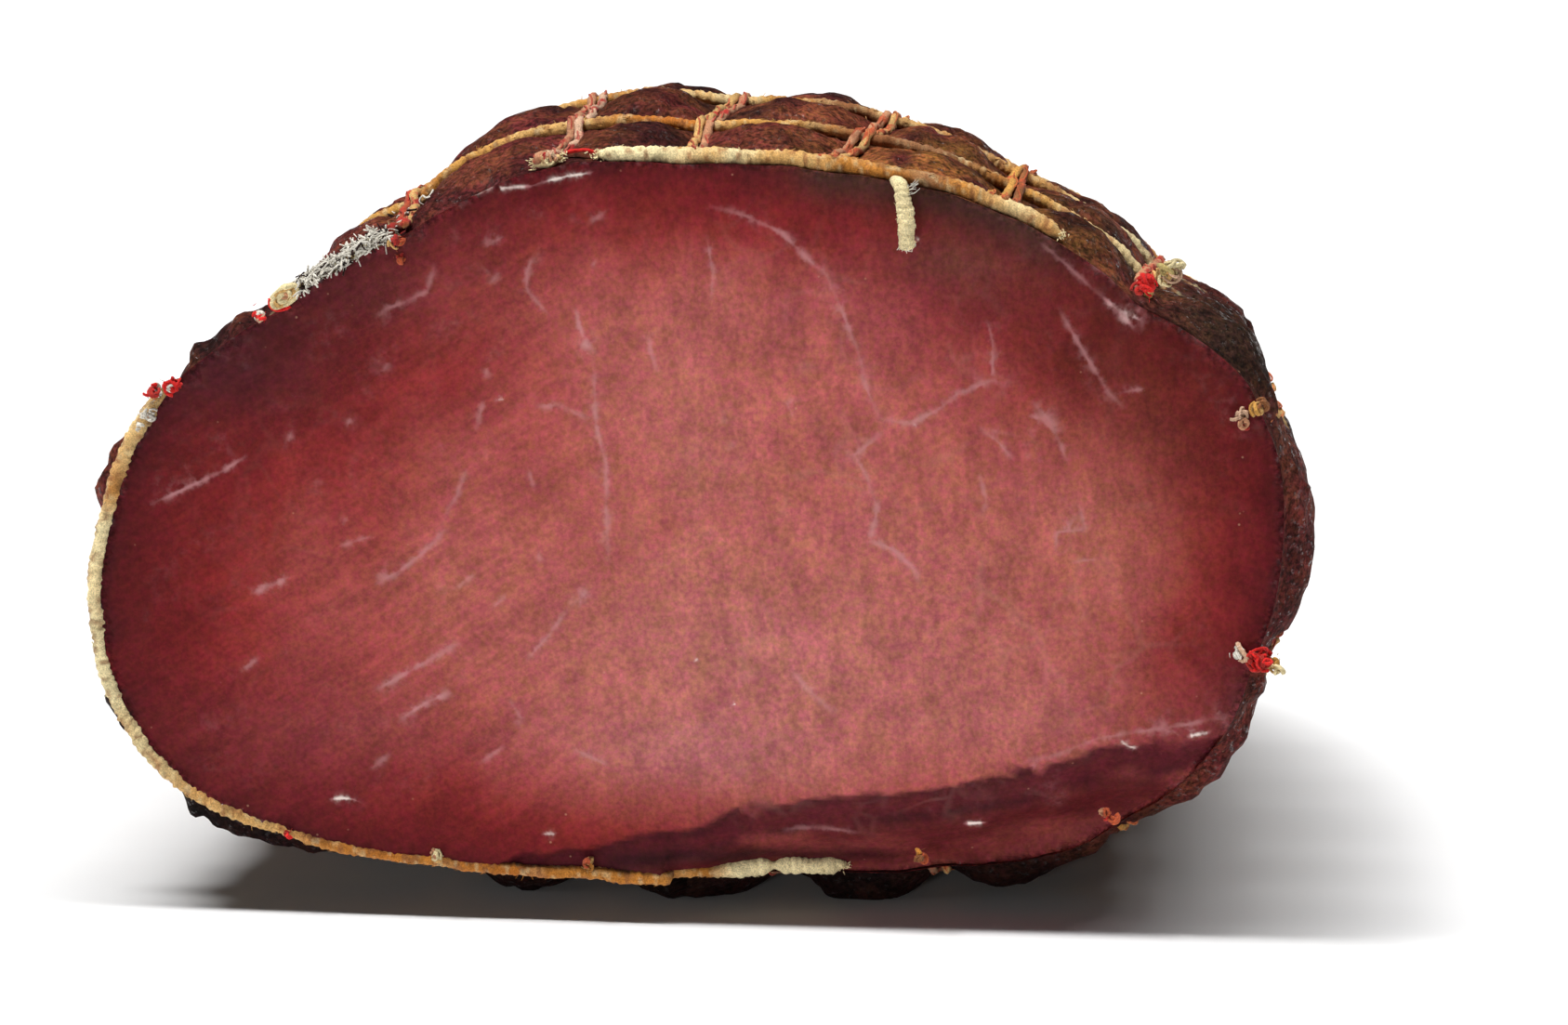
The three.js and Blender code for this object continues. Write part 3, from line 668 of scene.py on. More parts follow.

# Streaks of fat and sinew, and painted highlights and glints: width in millimetres, strength, and points over
# the face from its centre.
STREAKS = (
    (0.5, 0.8, [(2.6, 42.6), (7.0, 41.5), (11.9, 39.4), (15.0, 36.2), (17.8, 33.8), (19.7, 29.5),
                 (21.9, 24.0), (23.0, 19.1), (24.9, 14.8)]),
    (0.5, 0.8, [(24.9, 14.8), (28.9, 14.3), (32.5, 16.3), (34.9, 18.3), (39.5, 20.3), (41.0, 19.3)]),
    (0.4, 0.7, [(39.5, 20.3), (39.5, 25.2), (38.8, 28.3)]),
    (0.5, 0.8, [(25.7, 13.6), (21.5, 9.9), (23.1, 7.3), (24.6, 2.9), (23.7, -1.6), (26.7, -2.8),
                 (29.3, -5.1), (31.0, -8.6)]),
    (0.45, 0.7, [(37.8, 14.2), (40.4, 12.1), (42.2, 9.9)]),
    (0.45, 0.7, [(48.1, 29.7), (51.6, 23.7), (54.7, 18.9), (56.4, 17.2)]),
    (0.45, 0.7, [(56.4, 19.0), (59.2, 19.5)]),
    (0.45, 0.6, [(44.9, 16.6), (48.0, 13.2), (49.3, 9.7)]),
    (0.45, 0.6, [(51.1, 3.6), (52.0, 0.4), (48.2, 0.0), (48.0, -2.8)]),
    (0.4, 0.6, [(50.0, -4.1), (53.4, -3.6)]),
    (0.4, 0.6, [(37.9, 7.7), (38.9, 4.2), (38.5, 2.4)]),
    (0.5, 0.7, [(13.4, -19.8), (15.5, -22.5), (19.0, -25.5)]),
    (0.4, 0.5, [(12.5, 17.2), (13.5, 15.0)]),
    (0.45, 0.6, [(2.1, 38.6), (2.9, 34.1), (2.7, 30.3)]),
    (0.45, 0.6, [(-20.5, 36.2), (-21.5, 33.7), (-21.6, 31.3), (-19.7, 29.0), (-18.6, 27.9)]),
    (0.5, 0.6, [(-13.0, 34.3), (-12.3, 35.5)]),
    (0.5, 0.6, [(-13.2, 40.3), (-11.0, 41.8)]),
    (0.5, 0.6, [(-27.1, 36.8), (-24.7, 38.1)]),
    (1.1, 0.6, [(-26.2, 33.0), (-25.7, 32.7)]),
    (0.45, 0.6, [(-33.8, 34.0), (-34.7, 30.7), (-38.2, 29.0), (-40.5, 28.2), (-40.6, 26.2)]),
    (1.3, 1, [(-14.5, 24.4), (-13.1, 23.6)]),
    (0.5, 0.8, [(-15.1, 28.7), (-14.7, 26.7), (-14.1, 24.9)]),
    (0.45, 0.6, [(-5.5, 25.7), (-5.3, 23.3), (-4.2, 20.2)]),
    (1.1, 0.6, [(-27.6, 20.2), (-27.0, 20.0)]),
    (0.45, 0.6, [(-27.5, 16.1), (-28.6, 12.4)]),
    (0.45, 0.6, [(-29.9, 6.8), (-31.2, 3.4), (-32.8, 0.2)]),
    (0.5, 0.7, [(-20.4, 15.5), (-17.2, 15.9), (-13.6, 14.0)]),
    (0.5, 0.75, [(-12.8, 22.0), (-12.6, 13.6), (-11.3, 8.0), (-11.3, 2.4), (-11.1, -4.9)]),
    (0.4, 0.5, [(-21.4, 7.0), (-21.0, 4.6)]),
    (1, 0.5, [(-40.9, 20.7), (-40.4, 20.4)]),
    (1, 0.6, [(3.7, 14.5), (4.3, 14.2)]),
    (0.9, 0.6, [(4.9, 11.2), (5.4, 11.0)]),
    (0.9, 0.6, [(12.8, 17.0), (13.4, 16.8)]),
    (0.7, 1, [(-59.1, -11.0), (-56.6, -9.9), (-54.3, -8.7)]),
    (0.5, 0.8, [(-42.6, -9.4), (-39.2, -7.4), (-35.8, -4.7), (-32.8, -1.3)]),
    (0.5, 0.7, [(-31.6, -9.4), (-28.9, -7.5)]),
    (0.8, 0.6, [(-20.9, -4.8), (-20.2, -5.0)]),
    (0.5, 0.6, [(-26.6, -12.0), (-24.9, -10.4)]),
    (0.8, 1, [(-16.3, -11.7), (-13.9, -9.2)]),
    (0.45, 0.7, [(-16.3, -11.7), (-19.3, -15.8), (-22.6, -19.7)]),
    (0.55, 0.9, [(-43.0, -24.3), (-37.1, -20.7), (-31.2, -17.0)]),
    (0.6, 1, [(-39.6, -28.2), (-36.2, -25.8), (-32.4, -24.0)]),
    (0.45, 0.6, [(-43.7, -35.4), (-41.3, -33.3)]),
    (0.45, 0.6, [(-28.6, -33.9), (-25.7, -31.6)]),
    (0.45, 0.6, [(-60.8, -21.8), (-58.8, -20.2)]),
    (0.45, 0.6, [(-24.7, -24.7), (-23.0, -27.7)]),
    (0.5, 0.7, [(-16.1, -31.6), (-11.3, -33.9)]),
    (0.42, 0.95, [(-72.6, 0.9), (-67.4, 3.4), (-62.8, 5.7), (-59.6, 7.8)]),
    (1, 0.6, [(-54.0, 10.9), (-53.4, 10.7)]),
    (0.9, 0.6, [(-46.0, 13.1), (-45.3, 12.9)]),
    (0.8, 0.6, [(-46.7, -0.4), (-46.0, -0.6)]),
    (0.45, 0.6, [(-47.1, -4.1), (-42.6, -2.6)]),
    (0.45, 0.6, [(-40.8, -8.8), (-35.4, -4.5)]),
    (0.4, 0.5, [(45.6, 38.5), (49.0, 35.6), (52.3, 32.6)]),
    (0.5, 1.2, [(53.6, 31.6), (55.6, 29.8), (57.8, 27.4)]),
    (0.4, 1.3, [(55.0, 29.6), (56.6, 29.6), (58.8, 28.4)]),
    # Shiny membrane along the top edge: white partly of its own colour and partly as painted highlight.
    (0.25, 1.7, [(-29.6, 43.4), (-25.9, 44.4), (-20.7, 44.9)]),
    (0.25, 1.7, [(-19.5, 45.4), (-16.0, 46.3), (-12.8, 46.8)]),
    # A pale line along the lip's crest: partly membrane and partly painted highlight.
    (0.45, 0.7, [(44.1, -32.2), (49.6, -30.4), (53.9, -28.4), (60.3, -27.2), (66.4, -26.1), (71.3, -24.7)]),
    # A painted highlight just above the lip's fold.
    (0.4, 0.45, [(12.0, -43.4), (16.0, -42.8), (22.0, -43.6)]),
    # From here on, painted glints: short white marks.
    (0.35, 1.8, [(57.0, -28.4), (57.9, -29.5), (59.2, -30.0)]),
    (0.3, 1.8, [(66.0, -27.9), (67.4, -27.5), (68.8, -27.2)]),
    (0.3, 1.8, [(36.4, -41.9), (37.6, -41.8), (39.0, -41.7)]),
    (0.3, 1.8, [(-20.6, -44.1), (-19.8, -44.0), (-18.8, -44.0)]),
    (0.3, 1.8, [(-49.4, -39.9), (-47.8, -39.7), (-46.2, -39.8)]),
    (0.3, 1.7, [(0.3, -18.2), (0.9, -18.9)]),
    (0.25, 1.7, [(5.5, -24.3), (5.8, -25.1)]),
    (0.3, 1.5, [(-25.9, 16.3), (-24.6, 16.5)]),
    (0.3, 1.5, [(28.4, 14.2), (29.8, 14.4)]),
    (0.3, 1.8, [(29.2, 38.5), (29.7, 38.8)]),
)

# The line where the rose face ends and the dark lip begins, as it is torn.
LIP_EDGE = (
    (-30, -50), (-23.6, -46.8), (-13.5, -45), (-5.9, -43.3), (1.7, -41.4), (6.7, -39.0), (19.2, -37.4),
    (31.7, -35.9), (44.1, -32.9), (53.9, -29.8), (66, -28.6), (84, -22),
)

COLUMNS_PER_RIB = 28
EDGE_ROWS = (0, 0.3, 0.7, 1.2, 1.7, 2.3, 3.0, 3.9)
FINE_FROM = 4.9
FINE_UNTIL = 48.0
FINE_ROW = 0.9
BACK_ROW = 1.6
LAST_ROW = 0.7  # from the tip
FACE_STEP = 0.86
FACE_SPREAD = (90, 60)
STREAK_STEP = 0.5
STREAK_SIDES = (0, -0.55, 0.55)
STREAK_GAP = 0.38
CLEAR_OF_STREAKS = 0.85
CLEAR_OF_RIM = 0.55
OUTERMOST = 0.99
OFF_STREAKS = 50.0
FACE_FROM = 0.4  # the face's own surface starts so far in from the rim
PARTS = 30  # the distances from the rim are found in parts, to save memory

# Faint streaks: how many, and how many degrees they lean at places across the face.
FAINT_STREAKS = 240
LEAN_AT = (-60, -20, 0, 30, 70)
LEANS = (28, 42, 85, 105, 120)


def faint_streaks():
    """Short pale fibres, which lean to the right on the left of the face and stand more upright elsewhere."""
    rng = np.random.default_rng(12)
    found = []
    for _ in range(FAINT_STREAKS):
        x, z = rng.uniform(-72, 72), rng.uniform(-40, 42)
        lean = np.interp(x, LEAN_AT, LEANS) + rng.normal(0, 14)
        way = np.array([math.cos(math.radians(lean)), math.sin(math.radians(lean))])
        half = rng.uniform(1.0, 5.0)
        bow = rng.normal(0, 0.16) * half
        t = np.linspace(-1, 1, 5)[:, None]
        line = np.array([x, z]) + t * half * way + (1 - t**2) * bow * np.array([-way[1], way[0]])
        found.append((rng.uniform(0.4, 0.75), rng.uniform(0.2, 0.75), line))
    return found


def near_lines(points):
    """For each point of the face, the distance from the nearest streak, and its width and strength."""
    best = np.full(len(points), OFF_STREAKS)
    width = np.ones(len(points))
    strength = np.zeros(len(points))
    for wide, strong, line in ALL_STREAKS:
        line = np.array(line, float)
        a, b = line[:-1], line[1:]
        along = b - a
        length = np.linalg.norm(along, axis=1)
        t = np.clip(((points[:, None] - a) * along).sum(-1) / length**2, 0, 1)
        gaps = np.linalg.norm(points[:, None] - a - t[..., None] * along, axis=-1)
        nearest = gaps.argmin(axis=1)
        rows = np.arange(len(points))
        gap = gaps[rows, nearest]
        run = np.concatenate([[0], np.cumsum(length)])
        reached = run[nearest] + t[rows, nearest] * length[nearest]
        fade = smooth(np.minimum(reached, run[-1] - reached) / (0.3 * run[-1]) + 0.3)
        closer = gap / wide < best / width
        best, width = np.where(closer, gap, best), np.where(closer, wide, width)
        strength = np.where(closer, strong * fade, strength)
    return best, width, strength


ALL_STREAKS = [*STREAKS, *faint_streaks()]


def streak_points():
    """Points on the streaks and beside them, so that the mesh follows them."""
    found = []
    for _, _, line in STREAKS:
        line = np.array(line, float)
        lengths = travelled(line)
        at = np.arange(0, lengths[-1] + STREAK_STEP / 2, STREAK_STEP)
        on = np.stack([np.interp(at, lengths, line[:, i]) for i in (0, 1)], axis=1)
        way = unit(np.gradient(on, axis=0))
        across = np.stack([-way[:, 1], way[:, 0]], axis=1)
        found += [on + across * off for off in STREAK_SIDES]
    return np.concatenate(found)


def thin(points, gap):
    """The points without those that are closer than gap to an earlier one."""
    cells, kept = {}, []
    for p in points:
        cell = (int(p[0] // gap), int(p[1] // gap))
        close = False
        for i in (-1, 0, 1):
            for j in (-1, 0, 1):
                for q in cells.get((cell[0] + i, cell[1] + j), ()):
                    close = close or (p[0] - q[0]) ** 2 + (p[1] - q[1]) ** 2 < gap * gap
        if not close:
            cells.setdefault(cell, []).append(p)
            kept.append(p)
    return np.array(kept)


# How strongly lumps of rind swell out behind the cut edge, round the section, and the single lumps that show
# outside the cord: place round the section, half width and height.
BEADS_AT = (0, 0.3, 0.6, 1.2, 2, 3, 7.2, 8, 10, 11, 14.6, 15.2, 17.3, 17.6, 18)
BEADED = (0.1, 0.15, 0.15, 0.2, 0.5, 0, 0, 0.5, 0.5, 0, 0, 0.6, 0.5, 0.8, 0.2)
LUMPS = (
    (17.75, 3.4, 1.7), (17.55, 2.6, 1.5), (16.5, 2.6, 1.9), (16.3, 2.2, 1.6), (15.8, 2.2, 2.3),
    (15.62, 2.0, 2.1), (15.42, 2.4, 2.6), (15.2, 2.2, 2.4), (15.0, 2.6, 2.6), (14.8, 2.2, 2.2),
    (0.32, 1.1, 1.7), (0.62, 1.2, 0.8), (0.85, 1.4, 0.7),
)
GROOVE_HALF = 2.2
SMOOTH_EDGE = 2.5  # the rind is smooth at the cut, and fully wrinkled from here on
ALONG_WRINKLES = np.array([1, 0.45, 1])


def shell_points(u, s):
    at = place(u, s)
    hoop = 1 / (1 + (off_hoop(u, s) / GROOVE_HALF) ** 4)
    height = meat_height(at, u, s, hoop)
    p = at["point"] + at["out"] * height[..., None]
    free = smooth(s / SMOOTH_EDGE) * (1 - 0.5 * hoop)
    # Wrinkles of the dried skin run mostly along the meat.
    stretched = p * ALONG_WRINKLES
    fold = 1 - np.abs(noise(stretched, 5.5, 4))
    wrinkle = 0.34 * noise(stretched, 3.6, 1) + 0.24 * noise(stretched, 1.5, 2) + 0.5 * noise(p, 11, 3)
    wrinkle = wrinkle - 0.55 * smooth((fold - 0.82) / 0.18)
    # Lumps that swell out right behind the hoop in the cut edge.
    beads = np.interp(u % COUNT, BEADS_AT, BEADED) * bell(s, 6.0, 3.2, 4)
    wrinkle = wrinkle + beads * (2.3 + 1.5 * noise(p, 2.7, 5))
    for lump, half, rise in LUMPS:
        away = ((u % COUNT - lump) * at["spacing"] / half) ** 2 + ((s - 5.0) / 3.0) ** 2
        wrinkle = wrinkle + rise * np.exp(-(away**1.6)) * (1 + 0.25 * noise(p, 2.0, 6))
    p = p + at["out"] * (wrinkle * free)[..., None]
    p[..., 2] = np.maximum(p[..., 2], 0)
    return p


def rind_colours(u, s, p):
    def region(rib, half, reach):
        return (bell(u, rib, half) * bell(s, 0, reach))[..., None]

    plum = smooth(0.5 + 0.9 * noise(p, 9, 11))[..., None]
    brown = smooth(0.35 + 0.9 * noise(p, 4, 12) + 0.5 * noise(p, 1.6, 13))[..., None]
    colour = mix(mix(srgb(36, 15, 14), srgb(78, 29, 28), plum), srgb(96, 50, 32), 0.65 * brown)
    # Ochre at the upper right, then painted shade on the right side, then reddish, and painted shade, nearly
    # black, on the underside.
    mottled = smooth(0.65 + 0.8 * noise(p, 3.5, 14))[..., None]
    colour = mix(colour, srgb(160, 104, 48), 0.5 * mottled * region(5.6, 0.9, 26))
    # Painted shade on the right side.
    colour = mix(colour, srgb(38, 25, 18), 0.85 * region(7.6, 0.7, 60))
    colour = mix(colour, srgb(88, 33, 31), 0.6 * region(9.0, 0.7, 40))
    # Painted shade, nearly black, on the underside near the floor.
    low = (smooth((u - 9.5) / 1.2) * smooth((17.6 - u) / 1.2) * (1 - smooth(s / 60)))[..., None]
    colour = mix(colour, srgb(14, 8, 8), 0.92 * low)
    return mix(colour, srgb(60, 20, 24), 0.7 * bell(s, 0, 0.8)[..., None])


def edge_share(points, rim):
    """How far out each point of the face is, where 1 is at the rim."""
    angle = np.arctan2(rim[:, 1], rim[:, 0])
    order = np.argsort(angle)
    far = np.linalg.norm(rim, axis=1)[order]
    reach = np.interp(np.arctan2(points[:, 1], points[:, 0]), angle[order], far, period=2 * math.pi)
    return np.linalg.norm(points, axis=1) / reach


def inner_points(rim):
    """Points within the rim, on the streaks and evenly between them, and how far in from the rim each is."""
    xs = np.arange(-FACE_SPREAD[0], FACE_SPREAD[0], FACE_STEP)
    zs = np.arange(-FACE_SPREAD[1], FACE_SPREAD[1], FACE_STEP * math.sqrt(3) / 2)
    x, z = np.meshgrid(xs, zs)
    x[1::2] += FACE_STEP / 2
    followed = thin(streak_points(), STREAK_GAP)
    inner = np.concatenate([followed, np.stack([x.ravel(), z.ravel()], axis=1)])
    inner = inner[edge_share(inner, rim) < OUTERMOST]
    parts = np.array_split(inner, PARTS)
    depth = np.concatenate([np.linalg.norm(part[:, None] - rim, axis=-1).min(axis=1) for part in parts])
    inner, depth = inner[depth > CLEAR_OF_RIM], depth[depth > CLEAR_OF_RIM]
    keep = near_lines(inner)[0] > CLEAR_OF_STREAKS
    keep[: len(followed)] = True
    return inner[keep], depth[keep]


def triangulated(flat, rim_length):
    """Triangles between points over the face, of which the first are its rim. They look along -Y."""
    made, _, triangles, origins, _, _ = delaunay_2d_cdt(flat.tolist(), [], [list(range(rim_length))], 1, 1e-6)
    assert len(made) == len(flat), "the face's points moved"
    return [[origins[i][0] for i in triangle] for triangle in triangles]


def face_backs(flat, share, depth, below, spot):
    """How far back the points of the face lie. The torn lip has a step and a groove."""
    y = face_relief(flat[:, 0], flat[:, 1], share) + 0.9 * smooth(below) - 0.8 * bell(below, 7.0, 2.0)
    uneven = 0.22 * noise(spot, 9, 21) + 0.1 * noise(spot, 3, 22) + 0.05 * noise(spot, 1.4, 23)
    return y + smooth(depth / 4) * uneven


def face_colours(flat, depth, below, spot):
    x, z = flat.T
    turn = np.degrees(np.arctan2(z, x))
    dried = np.interp(turn, RIBS[::-1, 0], np.array(DRIED, float)[::-1], period=360)
    dryness = depth / dried * (1 + 0.16 * noise(spot, 13, 31)) + 0.05 * noise(spot, 5, 32)
    stops = [stop for stop, _ in DEPTH_COLOURS]
    colour = np.stack([np.interp(dryness, stops, [c[i] for _, c in DEPTH_COLOURS]) for i in range(3)], axis=1)
    for centre, radii, strong, tint in PATCHES:
        away = ((x - centre[0]) / radii[0]) ** 2 + ((z - centre[1]) / radii[1]) ** 2
        colour = mix(colour, tint, (strong * np.exp(-away))[:, None])
    # The lip, in two tiers, darker than the face partly of its own colour and partly as painted shade where
    # it faces down, with painted shade in its fold and along its top edge.
    tier = smooth((below - 4.2 - 1.2 * noise(spot, 4, 35)) / 2)[:, None]
    mottled = smooth(0.5 + noise(spot * [0.5, 1, 1], 3.5, 33))[:, None]
    lip_colour = mix(srgb(74, 20, 27), mix(srgb(78, 24, 26), srgb(118, 50, 48), mottled), tier)
    colour = mix(colour, lip_colour, 0.93 * smooth(below / 1.1)[:, None])
    # Painted shade in the fold.
    fold = bell(below, 5.0, 0.7) * smooth(0.5 + noise(spot, 5, 36))
    colour = mix(colour, srgb(44, 16, 20), (0.7 * fold)[:, None])
    # Painted shade along the lip's top edge, just below where it begins.
    shade = bell(below, 0.9, 0.7) * (1 - smooth((x - 52) / 8))
    colour = mix(colour, srgb(50, 16, 20), (0.6 * shade)[:, None])
    low_edge = bell(depth, 3.0 + noise(spot, 5, 39), 1.5) * smooth((24 - np.abs(x - 8)) / 8) * (z < -30)
    colour = mix(colour, srgb(36, 14, 18), (0.8 * low_edge)[:, None])
    # The meat has dried to grey-brown below the hoop at the upper right.
    grey = (1 - smooth(depth / 6.5)) * smooth((x - 8) / 10) * smooth((52 - x) / 8) * (z > 0)
    return mix(colour, srgb(66, 40, 33), (0.9 * grey)[:, None])


def make_meat():
    columns = COUNT * COLUMNS_PER_RIB
    fine = np.arange(FINE_FROM, FINE_UNTIL, FINE_ROW)
    s = np.concatenate([EDGE_ROWS, fine, np.arange(fine[-1] + BACK_ROW, SURFACE_LENGTH - LAST_ROW, BACK_ROW)])
    grid_u, grid_s = np.meshgrid(np.arange(columns) / COLUMNS_PER_RIB, s)
    shell = shell_points(grid_u, grid_s)
    shell_colour = rind_colours(grid_u, grid_s, shell)

    rim = shell[0][:, [0, 2]] - [0, FACE_CENTRE_Z]
    inner, depth = inner_points(rim)
    flat = np.concatenate([rim, inner])
    depth = np.concatenate([np.zeros(columns), depth])
    x, z = flat.T
    spot = np.stack([x, np.zeros(len(x)), z], axis=1)
    # The torn line where the rose face ends and the dark lip begins.
    torn = line_height(LIP_EDGE, x) + 0.8 * noise(spot, 4.5, 37) + 0.45 * noise(spot, 1.8, 38)
    y = face_backs(flat, edge_share(flat, rim), depth, torn - z, spot)
    colour = face_colours(flat, depth, torn - z, spot)
    face_points = np.stack([x, y, z + FACE_CENTRE_Z], axis=1)
    points = np.concatenate([face_points, shell[1:].reshape(-1, 3), TIP[None]])
    colours = np.concatenate([colour, shell_colour[1:].reshape(-1, 3), shell_colour[-1][:1]])

    grid = np.arange(columns * (len(s) - 1)).reshape(len(s) - 1, columns) + len(flat)
    grid = np.concatenate([np.arange(columns)[None], grid])
    cur, nxt = grid[:-1], grid[1:]
    quads = np.stack([cur, nxt, np.roll(nxt, -1, axis=1), np.roll(cur, -1, axis=1)], axis=-1)
    last = grid[-1].tolist()
    faces = triangulated(flat, columns) + quads.reshape(-1, 4).tolist()
    faces += [[a, len(points) - 1, b] for a, b in zip(last, last[1:] + last[:1])]

    def on_face(values, elsewhere=0.0):
        return np.concatenate([values, np.full(len(points) - len(flat), elsewhere)])

    gap, width, strength = near_lines(flat)
    values = {
        "face": on_face(depth > FACE_FROM),
        "fat_distance": on_face(gap, OFF_STREAKS),
        "fat_width": on_face(width, 1.0),
        "fat_strength": on_face(strength),
        "upright": on_face(smooth((x + 28) / 30)),
        "webbed": on_face((0.04 + 0.1 * smooth((x + 20) / 40)) * smooth(depth / 22)),
    }
    make_piece("meat_half", points, faces, MEAT, ["meat"], colours, values)


make_meat()

# ---- The hoops ----
CREAM = srgb(230, 212, 162)
TAN = srgb(212, 168, 104)
OCHRE = srgb(204, 150, 74)
ORANGE = srgb(198, 130, 52)
RUST = srgb(146, 92, 54)
OLIVE = srgb(176, 156, 98)
BARK = srgb(66, 34, 26)
IVORY = srgb(252, 234, 182)
WHITE = srgb(236, 230, 216)
CORD_RADII = (1.2, 0.95, 0.95, 0.95, 1.0, 1.0, 1.0, 1.0)
CORD_SUNK = 0.35
CORD_RIB = 0.95  # spacing of the ribs across the cord

# How deep the cord in the cut edge is sunk, round the section, how thick it is, and how far behind the cut.
EDGE_AT = (0, 0.12, 0.25, 0.85, 1.0, 2.5, 7, 11.5, 12.15, 12.35, 15.2, 16, 17.8, 18)
EDGE_SUNK = (0.5, 0.9, 2.1, 2.1, 0.8, 0.3, 0.3, 2.4, 2.2, 1.2, 0.8, 0.4, 0.3, 0.5)
EDGE_RADIUS = (1.25, 1.1, 1, 1, 0.95, 1.12, 1.08, 1.3, 1.3, 0.85, 0.95, 1.25, 1.25, 1.25)
EDGE_BACK = (0.9, 1.2, 1.7, 1.7, 1.4, 1.6, 1.6, 0.0, 0.0, 0.5, 0.7, 0.7, 0.8, 0.9)

# Colours along the first hoops: place round the section and colour.
HOOP_TINTS = {
    0: ((0, CREAM), (0.15, BARK), (0.9, BARK), (1.1, OLIVE), (2, OLIVE), (2.9, IVORY), (3.5, IVORY),
        (3.9, CREAM), (4.2, TAN), (4.35, CREAM), (4.6, OCHRE), (4.9, TAN), (5.1, ORANGE), (5.35, OCHRE),
        (5.6, RUST), (5.8, OCHRE), (6.1, CREAM), (6.3, TAN), (11.5, IVORY), (12.2, IVORY), (12.35, ORANGE),
        (14.3, ORANGE), (14.8, OCHRE), (15.8, TAN), (16.3, CREAM), (16.8, IVORY), (17.45, IVORY),
        (17.6, TAN), (17.8, CREAM), (18, CREAM)),
    1: ((0, TAN), (1.5, OCHRE), (2.4, OCHRE), (3.0, TAN), (3.3, OCHRE), (3.7, ORANGE), (4.4, OCHRE),
        (5.0, RUST), (5.5, RUST), (6.2, OCHRE), (6.98, CREAM), (7.08, BARK), (7.9, BARK), (8.5, TAN),
        (18, TAN)),
    2: ((0, TAN), (2, OCHRE), (3, OCHRE), (3.9, CREAM), (4.2, OCHRE), (4.7, RUST), (5.2, TAN), (5.6, RUST),
        (6, OCHRE), (6.6, CREAM), (6.98, CREAM), (7.08, BARK), (7.9, BARK), (8.5, TAN), (18, TAN)),
}
PLAIN_TINTS = ((0, TAN), (18, TAN))
FINE_HOOPS = 3  # the hoops that show are modelled more finely, and are fluffy
FINE_HOOP_STEPS = 110
HOOP_STEPS = 64
CLEAN_STRETCH = 11.85  # the last stretch at the bottom of the cut edge
BLUNT = 1.8  # length over which a cut end draws to a point


def tints_along(k, u):
    stops = HOOP_TINTS.get(k, PLAIN_TINTS)
    at = [a for a, _ in stops]
    return np.stack([np.interp(u % COUNT, at, [c[i] for _, c in stops]) for i in range(3)], axis=1)


def hoop_colours(k, u):
    """Colours over the cord: along it as HOOP_TINTS says, stained in patches, and darker on the side next to
    the meat.
    """
    along = tints_along(k, u)
    soiled = (1 - 0.9 * bell(u, CLEAN_STRETCH, 0.5, 4) * (k == 0))[:, None, None]

    def paint(ring, angle):
        colour = np.broadcast_to(along[:, None], ring.shape)
        stain = smooth(0.2 + 1.2 * noise(ring, 7, 41))[..., None]
        pale = smooth(0.1 + 1.2 * noise(ring, 4, 42))[..., None]
        brown = smooth(3.0 * noise(ring, 0.8, 44) - 0.6)[..., None]
        fleck = smooth(2.4 * noise(ring, 0.7, 45) - 0.5)[..., None]
        darker_to_meat = smooth(-0.2 - np.cos(angle)[None] + 0.7 * noise(ring, 1.5, 46))[..., None]
        colour = mix(colour, colour * srgb(236, 208, 176), stain * soiled)
        colour = mix(colour, CREAM, 0.2 * pale)
        colour = mix(colour, RUST, 0.7 * brown * soiled)
        colour = mix(colour, CREAM, 0.4 * fleck)
        return mix(colour, BARK, 0.55 * darker_to_meat * soiled)

    return paint


def hoop_path(k, u, rise):
    """The middle of hoop k, rise over the meat, and the direction out."""
    if k == 0:
        s = np.interp(u % COUNT, EDGE_AT, EDGE_BACK)
    else:
        s = station(u, k) + 0.25 * noise(np.stack([7 * u, 0 * u + k, 0 * u], axis=1), 5, 43)
    at = place(u, s)
    return at["point"] + at["out"] * (meat_height(at, u, s, 1) + rise)[:, None], at["out"]


def on_cord(distance, angle):
    return np.stack(np.broadcast_arrays(distance, 1.1 * np.cos(angle), 1.1 * np.sin(angle)), axis=-1)


def cord_relief(distance, angle):
    """The slanting ribs of the covered cord, uneven where it is squeezed, and fluffy."""
    ribs = np.abs(np.cos(angle / 2 - math.pi * distance / CORD_RIB + 0.9 * np.sin(distance / 2.3)))
    spot = on_cord(distance, angle)
    return 0.11 * (ribs - 0.64) + 0.16 * noise(spot, 2.4, 48) + 0.2 * noise(spot, 0.55, 49)


def fuzz(heap, path, out, radius, colour, rng, per_mm=2.0, longest=0.9):
    """Short fibres that stand off a cord. colour is one colour for each point of the path."""
    way = unit(np.gradient(path, axis=0))
    for i in rng.integers(1, len(path) - 1, int(travelled(path)[-1] * per_mm)):
        turn = rng.uniform(-1.9, 1.9)
        side = np.cross(way[i], out[i])
        away = out[i] * math.cos(turn) + side * math.sin(turn)
        lie = unit(away * rng.uniform(0.0, 0.5) + way[i] * rng.normal(0, 1) + side * rng.normal(0, 0.4))
        t = np.linspace(0, 1, 4)[:, None]
        reach = longest * rng.uniform(0.3, 1)
        fibre = path[i] + away * radius[i] * 0.95 + lie * t * reach
        fibre = fibre - away * t**2 * reach * rng.uniform(0, 0.35)
        thick = rng.uniform(0.05, 0.09)
        heap.tube(fibre, away, thick, colour[i] * rng.uniform(0.85, 1.1), sides=3, taper=0.5)


